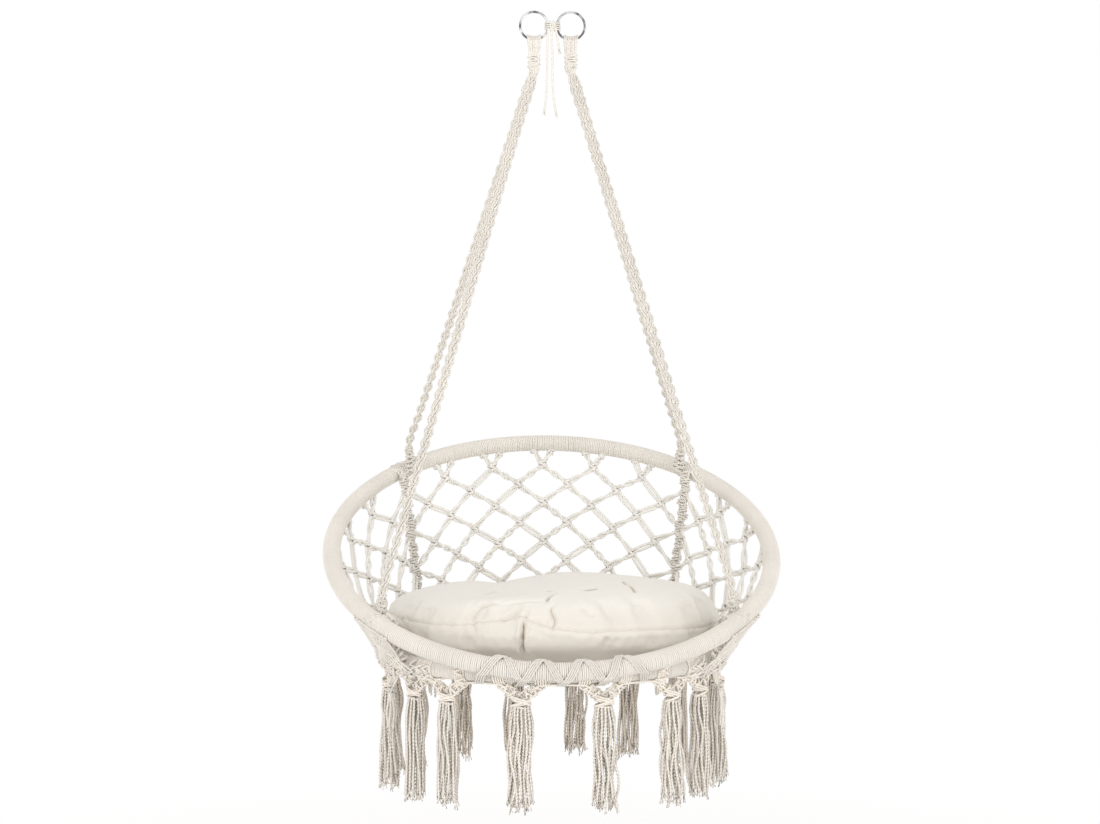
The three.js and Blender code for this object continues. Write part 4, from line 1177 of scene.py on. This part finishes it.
def tassel_legs(degrees, seed):
    """Two broad knotted legs that wrap the hoop and meet, with the turns that gather them."""
    outward, tangent, knot = tassel_axes(degrees)
    thick = sizes().cord / MM
    rng = random.Random(seed + 900)
    spread = math.degrees(33 / SEAT_HOOP_RADIUS)
    down = -Z
    cords = []
    for side in (-1, 1):
        foot_degrees = degrees + side * spread
        foot = on_seat_hoop(foot_degrees)
        foot_out = unit(foot)
        foot_tangent = unit(seat_bar(foot_degrees))
        for k in range(5):
            angles = np.linspace(0.9, -math.pi - 0.5, 14)
            radius = WRAP_RADIUS + thick / 2 - 0.8
            beside = foot + foot_tangent * (k - 2) * thick * 0.92
            cords.append(beside + radius * (np.outer(np.cos(angles), foot_out) + np.outer(np.sin(angles), Z)))
        reach = 40.0 + rng.uniform(-8, 8)
        for k in range(4):
            along = [foot + foot_tangent * side * (reach * t - 4) + foot_out * (k - 1.5) * 4.0
                + down * (WRAP_RADIUS + 3.0 - 4.8 * t * t + 0.9 * math.sin(5 * t + k))
                for t in (1, 0.75, 0.5, 0.25, 0)]
            along.append(foot * 0.6 + knot * 0.4 + down * 9 + foot_out * (k - 1.5) * 3.4)
            cords.append(rounded(np.array(along), 4))
        if abs(degrees) > 30:
            for k, (turn, wide) in enumerate(((0.05, 21.0), (-0.75, 24.0), (-1.45, 22.0))):
                away = foot_out * math.cos(turn) + Z * math.sin(turn)
                fall = unit(foot_out * math.sin(turn) - Z * math.cos(turn))
                cords += wrap_loops(foot + away * (WRAP_RADIUS + 3.2), fall, foot_tangent, away, wide, 9.5, 2,
                    4.4, thick, lean=0.32, seed=seed * 3 + k + side)
        start = foot + down * (WRAP_RADIUS - 1)
        leg = resampled(np.array([start, start * 0.6 + knot * 0.4 + outward * 1.5 + down * 2.5,
            knot - tangent * side * 3 + down * 3]), 2.0)
        along = tangents(leg)
        wide, face = crosswise(np.tile(down, (len(leg), 1)), along)
        t = np.linspace(0, 1, len(leg))
        for k in range(5):
            u = (k - 2) * thick * (1.0 - 0.16 * np.sin(math.pi * t)) + 0.5 * np.sin(t * 9 + k * 2)
            v = 1.6 * np.sin(t * 6.5 + k * 1.7) + (1.4 if k % 2 else -1.0)
            cords.append(leg + wide * u[:, None] + face * v[:, None])
        for share in (0.3, 0.62):
            i = int(share * (len(leg) - 1))
            cords += wrap_loops(leg[i], along[i], wide[i], face[i], 22.5, 14.0, 2, 4.3, thick,
                lean=0.34 * rng.uniform(0.8, 1.2), seed=seed * 7 + i)
    cords += wrap_loops(knot + down * 7.5, down, tangent, outward, 31, 23, 4, 4.2, thick,
        lean=0.13, seed=seed)
    for k, side in ((0, 1), (1, 1), (2, -1)):
        turned = np.radians(np.linspace(-85, 85, 9))
        fall = np.linspace(4.0, -9.0, 9) - k * 3.6 + 3.0
        cords.append(knot + np.outer(16.5 * np.sin(turned) * side, tangent)
            + np.outer(12.8 * np.cos(turned), outward) + np.outer(fall, Z))
    return cords


def tassel_strands(degrees, seed):
    """Twisted strands that hang from the knot, each with its own reach, length and sway."""
    outward, tangent, knot = tassel_axes(degrees)
    rng = random.Random(500 + seed)
    count = sizes().strands
    strand = sizes().strand / MM
    top = knot - Z * 12
    lean = rng.uniform(-4.0, 4.0)
    inner = count // 3
    hanging = []
    for n in range(count):
        within = n < inner
        place = n / inner if within else (n - inner) / (count - inner)
        angle = 2 * math.pi * place + rng.uniform(-0.1, 0.1)
        fall = TASSEL_LENGTH - TASSEL_KNOT_DROP - 12 + rng.uniform(-17, 3)
        phase = rng.uniform(0, 6.28)
        reach = 11.0 if within else 20.0 - strand / 2 + rng.uniform(-1.5, 2.0)
        wander = rng.uniform(1.2, 3.4) if rng.random() < 0.85 else 5.5
        points = []
        for t in np.linspace(0, 1, 14):
            r = reach * (0.74 + 0.26 * smooth(t * 6)) * (1 - 0.08 * math.sin(math.pi * t))
            side = r * math.cos(angle) + lean * t + wander * smooth(t * 3) * math.sin(phase + 8.5 * t)
            depth = r * 0.78 * math.sin(angle) + wander * 0.8 * smooth(t * 3) * math.cos(phase + 7.0 * t)
            points.append(top + tangent * side + outward * depth - Z * fall * t)
        hanging.append(rounded(np.array(points), 3))
    return hanging


class HAMMOCK_OT_tubes(Operator):
    """The steel tubes inside the whipping keep their own shape and get a painted finish"""
    bl_idname = "hammock.tubes"
    bl_label = "Hoop tubes"

    def execute(self, context):
        steel = material("Painted hoop steel", scratch_group, (0.55, 0.56, 0.57), (0.4, 0.41, 0.42), 0.1,
            metallic=0.3, Low=0.35, High=0.55, Mark_scale=180.0)
        for name in ("back_hoop_tube", "seat_hoop_tube"):
            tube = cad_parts[name]
            tube.data.materials.clear()
            tube.data.materials.append(steel)
        return {"FINISHED"}


# The cushion's seam, as degrees from the front and height, and its creases: points, width, depth, share of
# painted shade
CUSHION_SEAM_LINE = [(-180, 66), (-140, 72), (-105, 76), (-82, 75), (-67, 73.5), (-49, 71), (-36, 73.5),
    (-28.6, 80), (-20, 85), (-15, 89.5), (-12.6, 91), (-11.4, 84.5), (-7.8, 80), (-3.9, 73.5), (4, 67.5),
    (10.4, 64.5), (16, 66.5), (29, 65.5), (40.6, 63.5), (58, 59), (75, 58), (100, 62), (140, 68)]
CUSHION_CREASES = (
    ([(-62, -262, 90), (-61, -262, 78), (-61, -262, 65), (-60, -260, 52), (-59, -252, 38), (-56, -248, 28)],
        3.6, 8.0, 1.0),
    ([(6, -199, 124), (-3, -207, 122), (-12, -218, 120), (-20, -230, 116), (-23, -243, 109)], 3.4, 4.4, 0.7),
    ([(-13, -249, 105), (-17, -257, 99), (-14, -263, 91), (-11, -268, 83), (-14, -275, 75), (-21, -277, 69)],
        3.4, 4.0, 0.55),
    ([(-19, -166, 127), (-11, -192, 125)], 5.0, 3.2, 0.8),
    ([(38, -190, 126), (52, -182, 127), (66, -174, 128)], 8.0, 3.2, 0.75),
    ([(115, -84, 132), (118, -130, 129)], 4.6, 3.0, 0.75),
    ([(121, -124, 129), (126, -150, 126), (127, -184, 121)], 4.6, 3.2, 0.85),
    ([(-127, -132, 122), (-112, -105, 120), (-97, -66, 118)], 6.0, 2.2, 0.2),
    ([(-94, -230, 107), (-110, -222, 106), (-124, -211, 102), (-135, -213, 92), (-141, -222, 81),
        (-139, -226, 73), (-135, -233, 58)], 4.4, 3.6, 0.24),
    ([(-92, -228, 107), (-70, -230, 109), (-50, -237, 110), (-24, -240, 111)], 3.0, 1.6, 0.12),
    ([(-99, -249, 84), (-86, -247, 89), (-74, -245, 95), (-64, -245, 103)], 4.6, 3.4, 0.2),
    ([(-54, -248, 104), (-56, -257, 95), (-57, -259, 85)], 4.0, 2.6, 0.12),
    ([(31, -247, 103), (43, -255, 95), (55, -262, 88)], 6.0, 2.8, 0.1),
    ([(69, -264, 60), (65, -260, 47)], 4.6, 2.2, 0.06),
    ([(208, -176, 58), (206, -174, 47), (201, -168, 36)], 4.0, 2.8, 0.3),
    ([(-268, -104, 74), (-262, -116, 66)], 3.4, 2.4, 0.3),
    ([(248, -128, 94), (254, -140, 80), (252, -150, 66)], 3.6, 2.4, 0.12),
    ([(-100, 190, 112), (-40, 215, 104), (10, 222, 100)], 7.0, 3.0, 0.06),
    ([(170, 120, 112), (185, 150, 100), (178, 180, 86)], 5.0, 3.0, 0.1),
)
CUSHION_LUMPS = ((-170, -90, 60, -1.5), (40, -20, 110, 1.5), (60, 150, 60, -2.0), (160, 60, 60, -2.5),
    (90, -190, 50, 1.5), (-120, -190, 40, 2.0), (20, -90, 40, -1.5), (-30, -200, 40, 1.5))
# How far the top stands above or below an even crown, by the place across
CUSHION_TOP_LINE = [(-300, -6), (-250, -9), (-200, -9), (-145, -10), (-118, -14), (-95, -18), (-72, -15.5),
    (-45, -11), (-5, -5), (40, 0), (150, 0), (225, 1), (262, 2), (300, 1)]
CUSHION_TOP_FRONT = -235
CUSHION_EDGE_SHARE = 0.8


def evaluated_mesh(obj):
    graph = bpy.context.evaluated_depsgraph_get()
    return bpy.data.meshes.new_from_object(obj.evaluated_get(graph), depsgraph=graph)


def vertex_array(mesh, key="co"):
    flat = np.empty(len(mesh.vertices) * 3)
    mesh.vertices.foreach_get(key, flat)
    return flat.reshape(-1, 3)


def apply_one(obj, kind, **settings):
    """One modifier put on the object and applied."""
    modifier = obj.modifiers.new(kind, kind)
    for key, value in settings.items():
        setattr(modifier, key, value)
    obj.data = evaluated_mesh(obj)
    obj.modifiers.clear()


# How the cushion's cloth behaves as it is blown up, and how far a point may move, in metres
STUFFING = {"quality": 4, "mass": 0.25, "tension_stiffness": 12, "compression_stiffness": 8,
    "shear_stiffness": 4, "bending_stiffness": 0.4, "use_pressure": True, "uniform_pressure_force": 4,
    "shrink_min": -0.06, "vertex_group_mass": "Held"}
STUFFING_FRAMES = 20
STUFFING_CAP = 0.012
START_SHARES = (1.024, 0.99, 0.9)
START_DROP_SHARE = 0.045
CUSHION_VOXEL = 0.006


def stuffed_shape(obj):
    """Even quads over the cushion's solid, blown up by the cloth solver and kept near where they began."""
    shape = vertex_array(obj.data)
    low, high = shape.min(axis=0), shape.max(axis=0)
    middle = (low + high) / 2
    shape = middle + (shape - middle) * START_SHARES - Z * (high[2] - low[2]) * START_DROP_SHARE
    obj.data.vertices.foreach_set("co", shape.ravel())
    apply_one(obj, "REMESH", mode="VOXEL", voxel_size=CUSHION_VOXEL * 1)
    start = vertex_array(obj.data)
    held = obj.vertex_groups.new(name="Held")
    held.add([int(i) for i in np.where(start[:, 2] < start[:, 2].min() + 0.004)[0]], 1.0, "REPLACE")
    cloth = obj.modifiers.new("Stuffing", "CLOTH")
    for key, value in STUFFING.items():
        setattr(cloth.settings, key, value)
    cloth.settings.effector_weights.gravity = 0
    cloth.collision_settings.use_collision = False
    cloth.point_cache.frame_end = STUFFING_FRAMES
    for step in range(1, STUFFING_FRAMES + 1):
        bpy.context.scene.frame_set(step)
    move = vertex_array(evaluated_mesh(obj)) - start
    obj.modifiers.clear()
    obj.vertex_groups.clear()
    far = np.linalg.norm(move, axis=1)[:, None]
    move *= STUFFING_CAP * np.tanh(far / STUFFING_CAP) / np.maximum(far, 1e-9)
    obj.data.vertices.foreach_set("co", (start + move).ravel())
    bpy.context.scene.frame_set(1)
    apply_one(obj, "SUBSURF", levels=1, render_levels=1)


def near_lines(points, lines, reach, normals=None):
    """Each point's distance to a line where it is within reach, measured along the surface where its normals
    are given, and its share of the way along the line."""
    tree = KDTree(len(lines))
    for i, place in enumerate(lines):
        tree.insert(place, i)
    tree.balance()
    gaps = np.full(len(points), reach * 10.0)
    shares = np.zeros(len(points))
    low, high = lines.min(axis=0) - reach, lines.max(axis=0) + reach
    for i in np.where(((points > low) & (points < high)).all(axis=1))[0]:
        found, nearest, gaps[i] = tree.find(points[i])
        shares[i] = nearest / (len(lines) - 1)
        if normals is not None and gaps[i] < reach:
            off = points[i] - np.array(found)
            gaps[i] = np.linalg.norm(off - np.dot(off, normals[i]) * normals[i])
    return gaps, shares


def seam_height(place):
    """Height of the sewn edge at each point's direction from the cushion's middle."""
    line = np.array(CUSHION_SEAM_LINE + [(180, 66)], float)
    return np.interp(np.degrees(np.arctan2(place[:, 0], -place[:, 1])), line[:, 0], line[:, 1])


def finer_near(mesh, routes, seam_reach):
    """Splits the faces along the creases, and within reach of the seam, once more."""
    place = to_seat(vertex_array(mesh))
    near = np.abs(place[:, 2] - seam_height(place)) < seam_reach
    near &= np.hypot(place[:, 0], place[:, 1]) > CUSHION_RADIUS * CUSHION_EDGE_SHARE
    for route, width in routes:
        near |= near_lines(place, route, width * 3)[0] < width * 3
    work = bmesh.new()
    work.from_mesh(mesh)
    work.verts.ensure_lookup_table()
    faces = [f for f in work.faces if any(near[v.index] for v in f.verts)]
    edges = {e for f in faces for e in f.edges}
    bmesh.ops.subdivide_edges(work, edges=list(edges), cuts=1, use_grid_fill=True, smooth=0.3)
    bmesh.ops.triangulate(work, faces=[f for f in work.faces if len(f.verts) > 4])
    work.to_mesh(mesh)
    work.free()


def creased(mesh):
    """Broad lumps, the sewn seam and the creases, pressed into the shape, and painted shade below the seam,
    toward the low front, along the seam and in the creases, marked for the colour.
    """
    place = to_seat(vertex_array(mesh))
    surface = BVHTree.FromPolygons(place.tolist(), [list(p.vertices) for p in mesh.polygons])
    routes = []
    for points, width, _, _ in CUSHION_CREASES:
        route = np.array([surface.find_nearest(Vector(p))[0] for p in rounded(np.array(points, float), 8)])
        for _ in range(6):
            route[1:-1] = route[:-2] * 0.25 + route[1:-1] * 0.5 + route[2:] * 0.25
        routes.append((resampled(route, 0.6), width))
    finer_near(mesh, routes, 7.0)
    finer_near(mesh, [route for route in routes if route[1] < 4.5], 0.0)
    place = to_seat(vertex_array(mesh))
    out = vertex_array(mesh, "normal")
    x, y, z = place.T
    over = z - seam_height(place)
    top = smooth((over - 3) / 48)
    shift = np.zeros(len(place))
    for middle_x, middle_y, reach, height in CUSHION_LUMPS:
        shift += height * top * np.exp(-((x - middle_x) ** 2 + (y - middle_y) ** 2) / (2 * reach ** 2))
    line = rounded(np.array(CUSHION_TOP_LINE, float))
    sag = np.interp(x, line[:, 0], line[:, 1]) * top * smooth((y - CUSHION_TOP_FRONT) / 90)
    wave = np.arctan2(x, -y)
    gap = over + 0.4 * np.sin(wave * 61 + 2 * np.sin(wave * 13)) + 0.3 * np.sin(wave * 151)
    edge = np.hypot(x, y) > CUSHION_RADIUS * CUSHION_EDGE_SHARE
    pucker = np.sin(wave * 47 + 2 * np.sin(wave * 9)) * 0.6 + np.sin(wave * 83 + 3 * np.sin(wave * 5)) * 0.4
    shift += np.where(edge, -1.8 * np.exp(-(gap / 2.4) ** 2) + 0.9 * np.exp(-((np.abs(gap) - 8) / 5.0) ** 2)
        + 0.8 * pucker * np.exp(-(gap / 13.0) ** 2), 0)
    # Painted shade: darker below the seam and toward the low front, and a painted shadow line along the
    # seam's edge
    below = smooth(-gap / 4.0) * (0.075 + 0.06 * smooth((-gap - 4) / 45))
    low_front = 0.115 * (1 - smooth((y + 160) / 80)) * (1 - smooth((z - 76) / 44))
    painted_shade = np.maximum(np.maximum(below, low_front), np.where(edge, 0.34 * np.exp(-(gap / 0.9) ** 2), 0))
    # Each crease is pressed in and also gets painted shade along its line
    for (route, width), (_, _, depth, shade_share) in zip(routes, CUSHION_CREASES):
        gap, share = near_lines(place, route, width * 4, out)
        ends = smooth(share * 5) * smooth((1 - share) * 5)
        shift += depth * (0.25 + 0.75 * ends) * (0.32 * np.exp(-((gap - 2.1 * width) / width) ** 2)
            - np.exp(-(gap / width) ** 2))
        painted_shade = np.maximum(painted_shade, shade_share * ends * np.exp(-(gap / (width * 0.4)) ** 2))
    place += out * shift[:, None]
    place[:, 2] += sag
    mesh.vertices.foreach_set("co", to_frame(place).ravel())
    # The painted shade is kept as a point attribute for the cover's colour
    shade_mark = mesh.attributes.new("cushion_shade", "FLOAT", "POINT")
    shade_mark.data.foreach_set("value", painted_shade.astype(np.float32))


class HAMMOCK_OT_cushion(Operator):
    """The stuffed round cushion with its sewn edge and creases"""
    bl_idname = "hammock.cushion"
    bl_label = "Cushion"

    def execute(self, context):
        c = colours()
        cover = material("Cushion cotton", weave_group, c.cushion, shaded(c.cushion, 0.93), 0.2, sheen=0.1)
        n = Nodes(cover.node_tree)
        colour = cover.node_tree.nodes["Principled BSDF"].inputs["Base Color"]
        # The cover's colour darkens toward the painted shade colour where the shape marks painted shade
        shade_mark = n("Attribute", attribute_name="cushion_shade")["Fac"]
        n.link(n.blend(shade_mark, colour.links[0].from_socket, (*c.cushion_shade, 1)), colour)
        cushion = linked(bpy.data.objects.new("stuffed_cushion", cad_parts["cushion"].data.copy()))
        cushion.data.materials.clear()
        stuffed_shape(cushion)
        creased(cushion.data)
        cushion.data.materials.append(cover)
        for polygon in cushion.data.polygons:
            polygon.material_index = 0
            polygon.use_smooth = True
        finish_piece(cushion, "cushion", "cushion_cover", "cushion")
        return {"FINISHED"}


# The floor's height is in the seat's frame, and its fade runs between two distances, in metres
FLOOR_HEIGHT = -560.0
FLOOR_REACH = 14.0
FLOOR_FADE = (0.7, 1.9)
# Each lamp's place in metres, size and power
LAMPS = {"key_lamp": ((-1.4, -3.1, -0.6), 2.0, 18.0), "fill_lamp": ((2.1, -2.8, -0.9), 2.2, 18.0),
    "top_lamp": ((-0.3, -0.9, 1.6), 1.8, 2.0)}
LAMP_TARGET = Vector((0, 0, -0.85))
# The camera that fits the photograph: its size, focal length and middle are in pixels
PHOTO_WIDTH, PHOTO_HEIGHT = 1100, 824
PHOTO_FOCAL = 2005.7
PHOTO_MIDDLE = (552.7, 404.25)
CAMERA_TURN = 0.0544
CAMERA_RISE = 0.0047
CAMERA_DISTANCE = 3499.0
CAMERA_HEIGHT = 417.5
SENSOR_WIDTH = 36.0


def bare_nodes(owner):
    """The maker of nodes for a material or world that starts empty."""
    owner.use_nodes = True
    owner.node_tree.nodes.clear()
    return Nodes(owner.node_tree)


def any_ray(n, *kinds):
    """One where a ray is of any of the kinds, otherwise zero."""
    rays = n("LightPath")
    return functools.reduce(lambda seen, kind: n.maths("MAXIMUM", seen, rays[kind]), kinds, 0.0)


def floor_look():
    """White light where the camera sees far floor, a pale matt floor elsewhere."""
    pale = bpy.data.materials.new("Stage floor")
    n = bare_nodes(pale)
    lit = n("BsdfDiffuse", Color=(0.96, 0.96, 0.96, 1))[0]
    white = n("Emission", Color=(1, 1, 1, 1), Strength=1.0)[0]
    level = n("VectorMath", n("TexCoord")["Object"], (1.0, 1.0, 0.0), operation="MULTIPLY")[0]
    far = n("MapRange", n("VectorMath", level, operation="LENGTH")["Value"], *FLOOR_FADE)[0]
    seen = any_ray(n, "Is Camera Ray", "Is Glossy Ray", "Is Transmission Ray")
    n("OutputMaterial", n("MixShader", n.times(seen, far), lit, white)[0])
    return pale


def soft_world():
    """Even studio light, which the camera sees as plain white."""
    world = bpy.data.worlds.new("Soft studio")
    n = bare_nodes(world)
    soft = n("Background", Color=(1.0, 0.99, 0.975, 1), Strength=0.99)[0]
    clear = n("Background", Color=(1, 1, 1, 1), Strength=1.0)[0]
    n("OutputWorld", n("MixShader", any_ray(n, "Is Camera Ray", "Is Transmission Ray"), soft, clear)[0])
    return world


def aimed(name, data, spot, direction):
    """An object at a place that looks along a direction."""
    obj = linked(bpy.data.objects.new(name, data))
    obj.location = spot
    obj.rotation_euler = direction.to_track_quat("-Z", "Y").to_euler()
    return obj


class HAMMOCK_OT_stage(Operator):
    """A pale floor and backdrop, soft studio lamps and the camera of the photograph"""
    bl_idname = "hammock.stage"
    bl_label = "Stage"

    def execute(self, context):
        scene = context.scene
        level = to_frame([0, 0, FLOOR_HEIGHT])[2]
        mesh = bpy.data.meshes.new("stage_floor")
        corners = [(x * FLOOR_REACH, y * FLOOR_REACH, level) for x, y in ((-1, -1), (1, -1), (1, 1), (-1, 1))]
        mesh.from_pydata(corners, [], [(0, 1, 2, 3)])
        mesh.materials.append(floor_look())
        linked(bpy.data.objects.new("stage_floor", mesh))
        scene.world = soft_world()
        for name, (spot, size, power) in LAMPS.items():
            lamp = bpy.data.lights.new(name, "AREA")
            lamp.size = size
            lamp.energy = power
            aimed(name, lamp, spot, LAMP_TARGET - Vector(spot))
        lens = bpy.data.cameras.new("photo_camera")
        lens.sensor_width = SENSOR_WIDTH
        lens.lens = PHOTO_FOCAL * SENSOR_WIDTH / PHOTO_WIDTH
        lens.shift_x = (PHOTO_WIDTH / 2 - PHOTO_MIDDLE[0]) / PHOTO_WIDTH
        lens.shift_y = (PHOTO_MIDDLE[1] - PHOTO_HEIGHT / 2) / PHOTO_WIDTH
        lens.clip_end = 60
        forward = Vector((math.sin(CAMERA_TURN), math.cos(CAMERA_TURN), 0))
        spot = to_frame(-CAMERA_DISTANCE * np.array(forward) + Z * CAMERA_HEIGHT)
        scene.camera = aimed("photo_camera", lens, spot, forward + Vector((0, 0, CAMERA_RISE)))
        scene.view_settings.view_transform = "Standard"
        return {"FINISHED"}


class HAMMOCK_PT_panel(Panel):
    """Sizes and colours of the chair, and a button for each group of pieces"""
    bl_label = "Hammock chair"
    bl_idname = "HAMMOCK_PT_panel"
    bl_space_type = "VIEW_3D"
    bl_region_type = "UI"
    bl_category = "Hammock chair"

    def draw(self, context):
        for settings in (context.scene.chair_sizes, context.scene.chair_colours):
            for key in settings.bl_rna.properties.keys():
                if key not in ("rna_type", "name"):
                    self.layout.prop(settings, key)
        for step in STEPS:
            self.layout.operator(step.bl_idname)


STEPS = (HAMMOCK_OT_stage, HAMMOCK_OT_tie, HAMMOCK_OT_rings, HAMMOCK_OT_eyes, HAMMOCK_OT_ropes,
    HAMMOCK_OT_whipping, HAMMOCK_OT_back_net, HAMMOCK_OT_seat_net, HAMMOCK_OT_lacing, HAMMOCK_OT_tassels,
    HAMMOCK_OT_tubes, HAMMOCK_OT_cushion)
CLASSES = (ChairSizes, ChairColours, *STEPS, HAMMOCK_PT_panel)


def register():
    for cls in CLASSES:
        bpy.utils.register_class(cls)
    bpy.types.Scene.chair_sizes = PointerProperty(type=ChairSizes)
    bpy.types.Scene.chair_colours = PointerProperty(type=ChairColours)


def unregister():
    del bpy.types.Scene.chair_sizes
    del bpy.types.Scene.chair_colours
    for cls in reversed(CLASSES):
        bpy.utils.unregister_class(cls)


def main():
    register()
    for step in STEPS:
        group, name = step.bl_idname.split(".")
        getattr(getattr(bpy.ops, group), name)()


if __name__ == "__main__":
    main()
